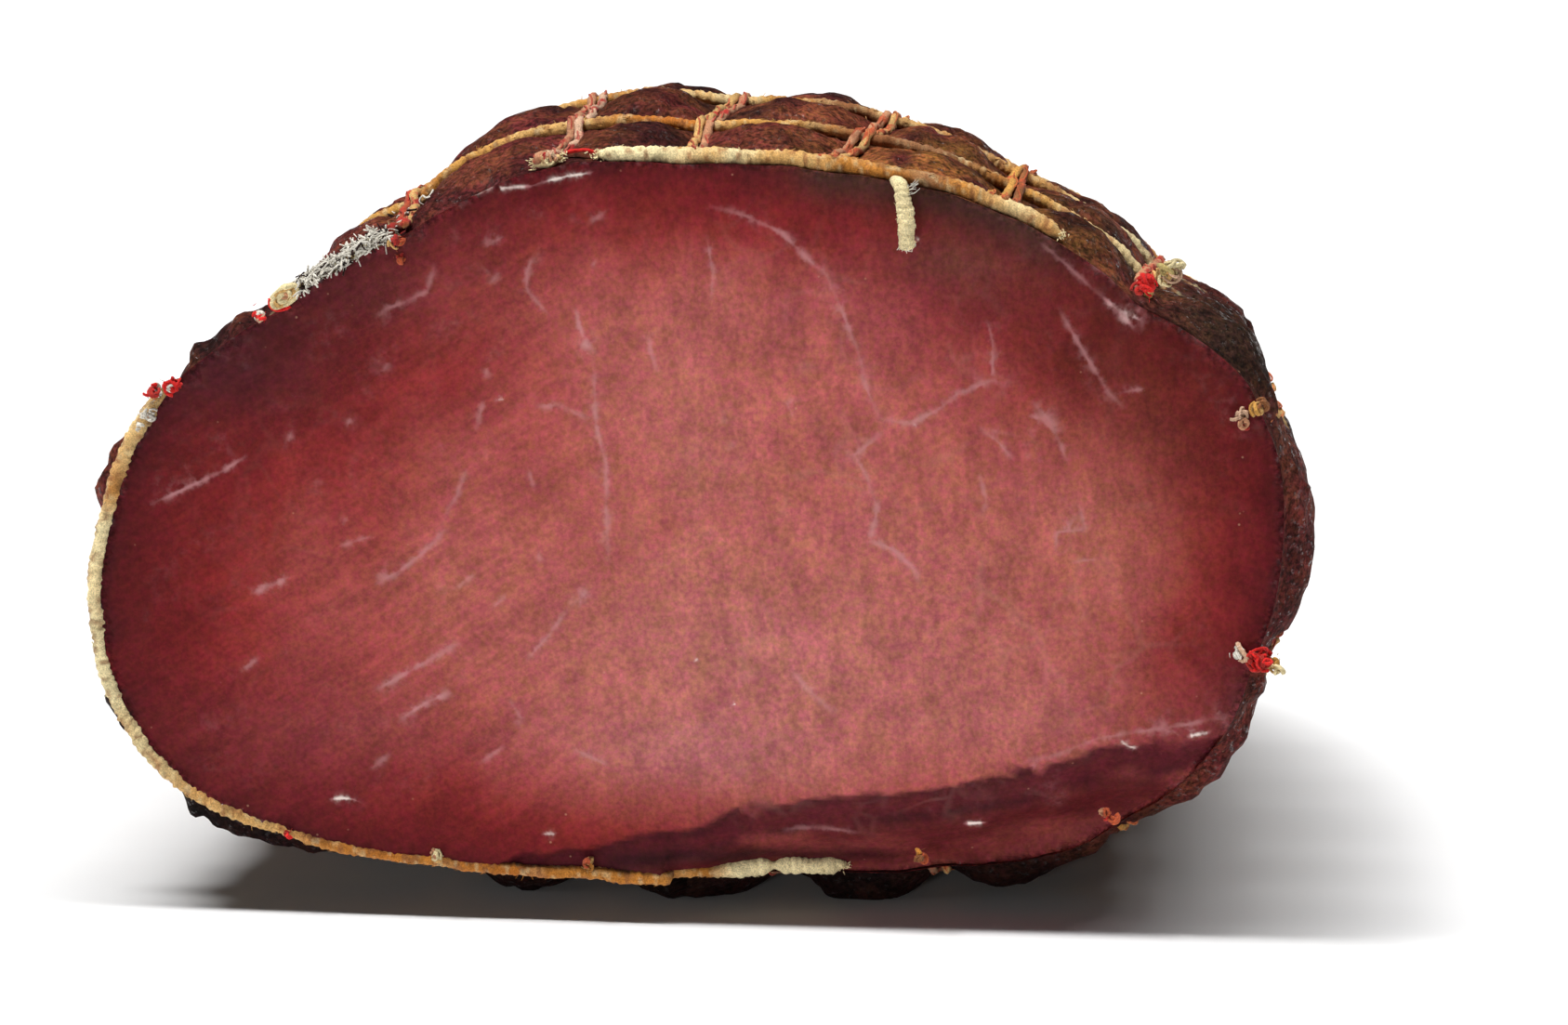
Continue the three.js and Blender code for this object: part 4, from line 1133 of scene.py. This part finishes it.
def make_hoop(k):
    fine = k < FINE_HOOPS
    steps = FINE_HOOP_STEPS if fine else HOOP_STEPS
    u = np.arange(COUNT * steps) / steps
    path, out = hoop_path(k, u, CORD_RADII[k] - CORD_SUNK)
    heap = Heap()
    heap.tube(path, out, CORD_RADII[k], hoop_colours(k, u), sides=10, closed=True, relief=cord_relief)
    if fine:
        radius = np.full(len(u), CORD_RADII[k])
        fuzz(heap, path, out, radius, tints_along(k, u), np.random.default_rng(70 + k))
    heap.piece(f"hoop_{k + 1}_cord", ELASTIC, "elastic", [f"hoop_{k + 1}"])


def fray(heap, root, way, rng, strands, length, radius, colour, spread):
    """Loose fibres that leave root towards way."""
    up = np.array([0.3, 0.2, 0.9])
    t = np.linspace(0, 1, 7)[:, None]
    for _ in range(strands):
        aim = unit(np.asarray(way, float) + rng.normal(0, spread, 3))
        bend = rng.normal(0, 0.35, 3)
        reach = length * rng.uniform(0.4, 1.15)
        start = np.asarray(root) + rng.normal(0, 0.4, 3)
        path = start + aim * t * reach + bend * t**2 * reach
        heap.tube(path, up, radius, colour * rng.uniform(0.8, 1.1), sides=5, taper=0.6)


def fray_patch(heap, rng, around, along, strands):
    """White fibres of the torn cover, lying this way and that over the cord."""
    t = np.linspace(-1, 1, 7)[:, None]
    for _ in range(strands):
        u = np.full(1, rng.uniform(*around))
        s = rng.uniform(*along)
        on_meat = np.full(1, max(s, 0))
        at = place(u, on_meat)
        point, out, across, forward = (at[key][0] for key in ("point", "out", "round", "along"))
        height = meat_height(at, u, on_meat, 1)[0] + rng.uniform(0.0, 1.9)
        lie = rng.normal(0, 1, 2)
        way = unit(across * lie[0] + forward * lie[1] + out * rng.normal(0, 0.35))
        root = point + out * height + forward * min(s, 0)
        curl = rng.normal(0, 0.45, 3) * t**2
        path = root + way * t * rng.uniform(0.4, 1.4) - out * t**2 * 0.3 + curl
        tint = WHITE if rng.random() < 0.74 else BARK * 0.5
        heap.tube(path, out, rng.uniform(0.07, 0.15), tint * rng.uniform(0.8, 1), sides=5)


SIDE_NICK = 11.98  # where the cord at the bottom is cut nearly through

# Where the cords' covers are torn to white fibres: round the section, along the meat, and how many fibres.
FRAYED = (((1.15, 1.95), (-0.9, 5.0), 620), ((1.85, 2.2), (6.0, 16.0), 26))


def make_edge_arc(name, start, end):
    rng = np.random.default_rng(round(start * 100))
    u = np.linspace(start, end, int((end - start) * FINE_HOOP_STEPS))
    radius = np.interp(u % COUNT, EDGE_AT, EDGE_RADIUS)
    path, out = hoop_path(0, u, radius - np.interp(u % COUNT, EDGE_AT, EDGE_SUNK))
    reached = travelled(path)
    radius = radius * mix(0.45, 1, smooth(np.minimum(reached, reached[-1] - reached) / BLUNT))
    if name == "hoop_1_side":
        radius = radius * (1 - 0.6 * bell(u, SIDE_NICK, 0.035))
    heap = Heap()
    heap.tube(path, out, radius, hoop_colours(0, u), sides=12, relief=cord_relief)
    fuzz(heap, path, out, radius, tints_along(0, u), rng)
    for i, way in ((0, path[0] - path[2]), (-1, path[-1] - path[-3])):
        fray(heap, path[i], unit(way), rng, 34, 0.55, 0.1, IVORY, 0.8)
    if name == "hoop_1_side":
        for around, along, strands in FRAYED:
            fray_patch(heap, rng, around, along, strands)
    heap.piece(f"{name}_cord", ELASTIC, "elastic", [name])


for arc, (arc_from, arc_to) in EDGE_ARCS.items():
    make_edge_arc(arc, arc_from, arc_to)
for hoop in range(1, HOOPS):
    make_hoop(hoop)

# ---- The ribs ----
YARN_RADIUS = 0.6
PLY_TURN = 2.3  # length of one turn of a leg's plies
THREAD_RADIUS = 0.14
STITCH = 6.1  # length of one swing of the thread
FINE_STITCHES = 46.0  # the stitches are modelled most finely up to here
FINE_STITCH_STEP = 0.34
STITCH_STEP = 0.7
RIB_ENDS_AT = 6.4  # from the tip, where the gather starts
FULL_WIDTH_SPACING = 3.6 / 0.66  # ribs at least so far apart have their full width
LEG_HEIGHT = 0.85
LIFT_OVER_HOOP = 0.8
LIFT_WHERE_TAUT = 0.7
COVERED_HEIGHT = -0.6
CURLS = 4  # of each colour in a knot
FRONT = np.array([0.0, -1.0, 0.0])
RED = srgb(178, 48, 40)
BRIGHT_RED = srgb(226, 40, 36)
ORANGE_RED = srgb(190, 88, 52)
PINK_TAN = srgb(196, 140, 104)
PALE_PINK = srgb(212, 172, 142)

# Colour of the left leg, the right leg and the flecks of each rib, and how much of it the flecks take.
RIB_TINTS = (
    (PALE_PINK, PINK_TAN, RED, -0.4), (TAN, PINK_TAN, RED, -0.4), (ORANGE_RED, TAN, RED, -0.3),
    (PINK_TAN, PALE_PINK, RED, -0.5), (TAN, PINK_TAN, RED, -0.6), (PINK_TAN, TAN, ORANGE_RED, -0.1),
    (OCHRE, RUST, ORANGE_RED, -0.6), (PINK_TAN, TAN, RED, -0.2), (RUST, TAN, ORANGE_RED, -0.7),
    (RUST, TAN, RED, -0.6), (TAN, OCHRE, ORANGE_RED, -0.5), (TAN, PINK_TAN, ORANGE_RED, -0.5),
    (TAN, PINK_TAN, RED, -0.8), (TAN, PINK_TAN, RED, -0.8), (TAN, TAN, RED, -0.8), (TAN, TAN, RED, -0.6),
    (TAN, OCHRE, RED, -0.9), (TAN, OCHRE, RED, -0.9),
)

# Ribs that come out from under the hoop in the cut edge.
COVERED = (0, 1, 8, 9, 10, 11, 12, 13, 14, 15, 16, 17)

# Knots at the cut ends of ribs: rib, place over the face from its centre, size, and the loops' colours.
KNOTS = (
    (0, (-69.4, 17.4), 1.4, (BRIGHT_RED, BRIGHT_RED, BRIGHT_RED, RED, WHITE)),
    (0, (-71.8, 15.8), 1.4, (BRIGHT_RED, BRIGHT_RED, RED, BRIGHT_RED, WHITE)),
    (0, (-72.8, 13.2), 0.9, (WHITE, WHITE, PALE_PINK, WHITE, WHITE)),
    (0, (-73.8, 11.6), 0.7, (WHITE, WHITE, WHITE)),
    (1, (-57.2, 26.8), 1.0, (BRIGHT_RED, WHITE, PALE_PINK, BRIGHT_RED)),
    (2, (-38.4, 37.4), 1.2, (ORANGE_RED, ORANGE_RED, TAN, RED)),
    (2, (-38.3, 35.0), 0.8, (ORANGE_RED, RED, ORANGE_RED)),
    (3, (-18.4, 49.0), 1.2, (PALE_PINK, PINK_TAN, RED, CREAM)),
    (7, (61.9, 35.2), 2.0, (CREAM, CREAM, TAN, CREAM, PALE_PINK, OLIVE, CREAM, CREAM)),
    (7, (59.2, 32.9), 1.6, (BRIGHT_RED, BRIGHT_RED, PALE_PINK, RED, BRIGHT_RED, BRIGHT_RED)),
    (8, (72.2, 15.5), 1.5, (PALE_PINK, PINK_TAN, PALE_PINK, RED, PALE_PINK, PINK_TAN)),
    (8, (74.0, 17.7), 1.4, (OCHRE, RUST, TAN, RUST)),
    (9, (74.9, -17.0), 2.1, (BRIGHT_RED, BRIGHT_RED, RED, BRIGHT_RED, PALE_PINK, RED, BRIGHT_RED,
                             BRIGHT_RED)),
    (9, (77.3, -17.6), 1.4, (CREAM, TAN, OCHRE, TAN)),
    (9, (72.2, -16.0), 1.1, (WHITE, PALE_PINK, WHITE)),
    (10, (55.3, -38.9), 1.2, (ORANGE_RED, ORANGE_RED, PINK_TAN, RED)),
    (11, (30.8, -45.8), 1.3, (ORANGE_RED, ORANGE, ORANGE_RED, RUST)),
    (13, (-14.5, -48.2), 1.0, (ORANGE_RED, ORANGE, TAN)),
    (14, (-34.8, -47.6), 1.2, (PINK_TAN, TAN, CREAM)),
    (15, (-55.2, -45.0), 0.8, (BRIGHT_RED, RED)),
)


def rib_end(rib):
    s = np.arange(SURFACE_LENGTH * 0.6, SURFACE_LENGTH, 0.25)
    far = np.linalg.norm(groove_floor(np.full(len(s), float(rib)), s) - TIP, axis=1)
    return s[np.argmax(far < RIB_ENDS_AT)]


def ply_relief(distance, angle):
    """Three plies twisted together, with loose fibres."""
    plies = np.cos(3 * angle - 2 * math.pi * distance / PLY_TURN)
    return 0.13 * plies + 0.07 * np.sin(distance / 0.37 + 2 * angle)


def flecked(path, base, fleck, share, seed):
    """Colours over a yarn: its base, flecks along the twist, and darker on the side that meets the meat."""
    distance = travelled(path)[:, None]

    def paint(ring, angle):
        wave = np.cos(angle - 2 * math.pi * distance / (3 * PLY_TURN))
        amount = smooth(0.3 + share + 0.8 * wave + 1.8 * noise(ring, 1.2, seed))[..., None]
        shade = (0.92 + 0.3 * noise(ring, 2.0, seed + 20))[..., None]
        darker_to_meat = smooth(0.1 - np.cos(angle)[None] + 0.8 * noise(ring, 1.5, seed + 40))[..., None]
        return mix(mix(base, fleck, amount) * shade, BARK, 0.5 * darker_to_meat)

    return paint


def knot(heap, centre, size, tints, rng):
    """A tangle of short curls of yarn."""
    for tint in tints:
        middle = centre + rng.normal(0, 0.3, 3) * size
        for _ in range(CURLS):
            axis = unit(rng.normal(0, 1, 3))
            start = np.cross(axis, unit(rng.normal(0, 1, 3))) * size * rng.uniform(0.3, 0.75)
            turn = np.linspace(0, rng.uniform(1.6, 4.2), 10)[:, None]
            path = middle + start * np.cos(turn) + np.cross(axis, start) * np.sin(turn)
            path = path + axis * rng.normal(0, 0.06) * size * turn
            thick = rng.uniform(0.2, 0.4) * min(1, size)
            heap.tube(path, axis, thick, tint * rng.uniform(0.7, 1.1), sides=6, relief=ply_relief, taper=0.4)
    fray(heap, centre, (0, -0.6, 0.2), rng, 8, size * 0.7, 0.06, tints[-1], 1.2)


def cut_loop(heap):
    """The oval loop that is left of a cut stitch."""
    turn = np.linspace(0, 2 * math.pi, 30, endpoint=False)[:, None]
    long_way = np.array([0.77, 0, 0.64])
    short_way = np.array([-0.64, 0, 0.77])
    centre = np.array([-53.8, -0.2, 29.6 + FACE_CENTRE_Z])
    rings = ((1, 0.42, CREAM), (0.84, 0.4, TAN), (0.45, 0.45, CREAM), (0.2, 0.4, PINK_TAN))
    for reach, radius, tint in rings:
        path = centre + reach * (2.0 * long_way * np.cos(turn) + 1.0 * short_way * np.sin(turn))
        path = path + FRONT * 0.15 * np.sin(3 * turn + 5 * reach)
        heap.tube(path, FRONT, radius, tint, sides=9, closed=True, relief=ply_relief)
    turn = np.linspace(2.4, 4.6, 14)[:, None]
    path = centre + 2.35 * long_way * np.cos(turn) + 1.45 * short_way * np.sin(turn)
    heap.tube(path, FRONT, 0.28, BRIGHT_RED, sides=7, relief=ply_relief)


def loose_thread(heap):
    """The red thread that runs from the fourth rib to the end of the hoop."""
    t = np.linspace(0, 1, 40)
    u = np.linspace(3.03, 3.36, 40)
    s = 3.6 - 1.4 * t
    at = place(u, s)
    up = meat_height(at, u, s, 0.3) + 0.35 + 0.5 * np.sin(math.pi * t)
    path = at["point"] + at["out"] * up[:, None]
    heap.tube(path, at["out"], 0.26, BRIGHT_RED * 0.8, sides=7, relief=ply_relief)


def make_rib(rib):
    fine = np.arange(RIBS[rib, 3], FINE_STITCHES, FINE_STITCH_STEP)
    s = np.concatenate([fine, np.arange(fine[-1] + STITCH_STEP, rib_end(rib), STITCH_STEP)])
    u = np.full(len(s), float(rib))
    at = place(u, s)
    width = np.minimum(1, at["spacing"] / FULL_WIDTH_SPACING)
    over = np.sum([bell(np.abs(s - station(u, v)), 0, 2.3, 2.4) for v in range(HOOPS)], axis=0)
    lift = LIFT_OVER_HOOP + LIFT_WHERE_TAUT * taut(u, s)
    height = LEG_HEIGHT + lift * over * smooth(at["spacing"] / 10)
    thickness = YARN_RADIUS * (0.35 + 0.65 * width)
    if rib in COVERED:
        emerging = smooth((s - 2.2) / 4)
        height = mix(COVERED_HEIGHT, height, emerging)
        thickness = thickness * mix(0.5, 1, emerging)
    heap = Heap()

    def strand(off, rise):
        return at["point"] + at["round"] * (off * width)[:, None] + at["out"] * rise[:, None]

    # Two legs, which draw together at the hoops and spread at the cut. A thin thread swings over each.
    left, right, fleck, share = RIB_TINTS[rib]
    between = np.abs(np.sin(math.pi * (s - FIRST_HOOP) / HOOP_PITCH))
    apart = 0.6 + 0.25 * between + 0.45 * bell(s, 0, 4) + 0.15 * np.sin(s / 2.1 + rib)
    swing = 2 * math.pi * s / STITCH
    for side, tint in ((-1, left), (1, right)):
        path = strand(side * apart, height + 0.18 * side * np.sin(swing + rib))
        colour = flecked(path, tint, fleck, share, 50 + 2 * rib + side)
        heap.tube(path, at["out"], thickness, colour, sides=8, relief=ply_relief)
        phase = swing + 1.7 * side + rib
        off = side * apart + (0.3 + 0.2 * np.sin(0.7 * s)) * np.cos(phase)
        path = strand(off, height + thickness * 0.75 + 0.25 * np.sin(phase))
        heap.tube(path, at["out"], THREAD_RADIUS * (0.5 + 0.5 * width), mix(tint, fleck, 0.75), sides=5)

    rng = np.random.default_rng(40 + rib)
    for owner, (x, z), size, tints in KNOTS:
        if owner == rib:
            knot(heap, np.array([x, -0.3, z + FACE_CENTRE_Z]), size, tints, rng)
    if rib == 1:
        cut_loop(heap)
    if rib == 3:
        loose_thread(heap)
    heap.piece(f"rib_{rib + 1}_stitches", STITCHES, "stitching", [f"rib_{rib + 1}"])


for rib_number in range(COUNT):
    make_rib(rib_number)

# ---- The loose end ----
KNIT_ROW = 0.66


def top_of_cut(x):
    u = np.linspace(1, 9, 400)
    outline = on_curve(CUT_SECTION, u)
    outline = outline[outline[:, 1] > 0]
    return FACE_CENTRE_Z + outline[np.argmin(np.abs(outline[:, 0] - x)), 1]


def knit_relief(distance, angle):
    """Rows of stitches round the cord, where it isn't stretched."""
    rows = np.abs(np.cos(math.pi * distance / KNIT_ROW + 0.6 * np.sin(2 * angle)))
    spot = on_cord(distance, angle)
    return 0.13 * (rows - 0.64) + 0.16 * noise(spot, 1.8, 51) + 0.16 * noise(spot, 0.5, 52)


def make_loose_end():
    e = LOOSE_END
    top = top_of_cut(e["x"]) - e["hang"]
    t = np.linspace(0, 1, 64)
    z = top - t * e["length"]
    x = e["x"] + 0.8 * t + 0.3 * np.sin(3 * t)
    y = face_relief(x, z - FACE_CENTRE_Z, 0.9) - e["stand"] - e["bow"] * np.sin(math.pi * t)
    hanging = np.stack([x, y, z], axis=1)
    # It bends down from the hoop in the cut edge.
    u = np.linspace(4, 6.4, 200)
    hoop = hoop_path(0, u, 0.6)[0]
    root = hoop[np.argmin(np.abs(hoop[:, 0] - e["x"] + 1.0))] - [0, 0.4, 0.5]
    crook = hanging[0] + np.array([-0.4, 0, 0.4])
    bend = np.linspace(0, 1, 10, endpoint=False)[:, None]
    path = np.concatenate([mix(mix(root, crook, bend), mix(crook, hanging[0], bend), bend), hanging])
    share = np.linspace(0, 1, len(path))
    radius = 0.9 * e["width"] / 2 * mix(0.6, 1, smooth(2.6 * share)) * (1 + 0.05 * np.sin(11 * share))
    colour = mix(CREAM, IVORY, smooth(share * 1.5)[:, None])
    colour = mix(colour, srgb(214, 182, 134), 0.4 * smooth(2 * noise(path, 1.6, 47))[:, None])
    heap = Heap()
    heap.tube(path, FRONT, radius, colour, sides=14, relief=knit_relief)
    rng = np.random.default_rng(7)
    fuzz(heap, path, np.broadcast_to(FRONT, path.shape), radius, colour, rng, per_mm=12, longest=0.45)
    fray(heap, path[-1] + [0, 0, 0.4], (0, -0.1, -1), rng, 60, 0.6, 0.1, WHITE, 0.9)
    fray(heap, path[16] + [1.0, 0.2, 0], (1, -0.2, 0.4), rng, 14, 0.9, 0.1, WHITE * 0.8, 0.3)
    heap.piece("loose_end_cord", ELASTIC, "elastic", ["loose_end"])


make_loose_end()

# ---- The tied end ----
GATHER_TINTS = (PINK_TAN, TAN, RED, PALE_PINK, CREAM)
GATHER_STRANDS = 30
PLY_ACROSS = 2.2  # spacing of the string's plies along it


def round_tip(turn, radius, y):
    """A path round the line that leaves the tip along +Y, and the direction out."""
    out = np.stack([np.cos(turn), np.zeros(len(turn)), np.sin(turn)], axis=1)
    return np.stack([radius * np.cos(turn), y, radius * np.sin(turn)], axis=1) + TIP, out


def make_gather():
    heap = Heap()
    radii, backs = (np.array(a, float) for a in zip(*GATHER_SHAPE))
    at = np.linspace(backs[0], backs[-1], 44)
    radius = np.interp(at, backs, radii)
    radius = np.convolve(np.pad(radius, 3, mode="edge"), np.ones(7) / 7, "valid")
    core = round_tip(np.zeros(len(at)), 0.0, at)[0]
    heap.tube(core, (0.0, 0.0, 1.0), radius * 0.82, PINK_TAN * 0.7, sides=24)
    rng = np.random.default_rng(3)
    for i in range(GATHER_STRANDS):
        turn = 2 * math.pi * i / GATHER_STRANDS + 0.02 * (at - backs[0]) + 0.05 * np.sin(at / 2 + i)
        path, out = round_tip(turn, radius * (0.9 + 0.05 * math.sin(5 * i)), at)
        thick = np.minimum(0.62, 0.62 * radius / 5)
        tint = GATHER_TINTS[rng.integers(len(GATHER_TINTS))]
        heap.tube(path, out, thick, tint * rng.uniform(0.75, 1.0), sides=7, relief=ply_relief)
    heap.piece("net_gather_strands", STITCHES, "stitching", ["net_gather"])


def string_relief(distance, angle):
    return 0.2 * np.abs(np.cos(angle - math.pi * distance / PLY_ACROSS)) - 0.1


def make_tie():
    turn = np.linspace(0, 2 * math.pi * TIE["turns"], 70 * TIE["turns"])
    path, out = round_tip(turn, TIE["radius"], TIE["at"] + turn / (2 * math.pi) * TIE["rise"])
    heap = Heap()
    heap.tube(path, out, TIE["side"] / 2, srgb(214, 200, 164), sides=12, relief=string_relief)
    heap.piece("tie_string_ply", STRING, "string", ["tie_string"])


make_gather()
make_tie()

# ---- Floor and light, in metres ----
FLOOR_HALF = 4.0
FLOOR_Z = -0.0002
SOFTBOXES = {
    "key": {"at": (-0.3, -1.25, 0.07), "size": (0.5, 0.12), "watts": 4.25},
    "fill": {"at": (-1.2, -0.5, 0.22), "size": (0.4, 0.3), "watts": 1.6},
}
LIT_POINT = (0, 0, 0.05)

# A long ceiling light across the room, in parts: how far each leans to the left, and its strength.
CEILING = (
    (24, 1.0), (17, 1.1), (10, 0.8), (3, 0.6), (-4, 0.5), (-10, 0.4), (-17, 0.35), (-25, 0.3), (-34, 0.2),
)
CEILING_ANGLE = 8
CEILING_TILT = 2
WORLD_STRENGTH = 0.012


def make_floor():
    mesh = bpy.data.meshes.new("floor")
    corners = [(x * FLOOR_HALF, y * FLOOR_HALF, 0) for x, y in ((-1, -1), (1, -1), (1, 1), (-1, 1))]
    mesh.from_pydata(corners, [], [(0, 1, 2, 3)])
    mesh.materials.append(floor_material())
    made = add_object("floor", mesh)
    made.location.z = FLOOR_Z
    return made


def softbox(name, at, size, watts):
    data = bpy.data.lights.new(name, "AREA")
    data.shape = "RECTANGLE"
    data.size, data.size_y = size
    data.energy = watts
    z_axis = unit(np.array(at) - LIT_POINT)
    x_axis = unit(np.cross([0, 1, 0.01], z_axis))
    stand(add_object(name, data), at, x_axis, np.cross(z_axis, x_axis), z_axis)


def ceiling_part(lean, strength):
    data = bpy.data.lights.new("ceiling", "SUN")
    data.energy = strength
    data.angle = math.radians(CEILING_ANGLE)
    add_object("ceiling", data).rotation_euler = (math.radians(CEILING_TILT), math.radians(-lean), 0)


floor = make_floor()
for name, box in SOFTBOXES.items():
    softbox(name, **box)
for part in CEILING:
    ceiling_part(*part)

world = bpy.data.worlds.new("studio")
bpy.context.scene.world = world
world.use_nodes = True
background = world.node_tree.nodes["Background"]
background.inputs["Color"].default_value = (1.0, 1.0, 1.0, 1.0)
background.inputs["Strength"].default_value = WORLD_STRENGTH
bpy.context.scene.view_settings.view_transform = "Standard"
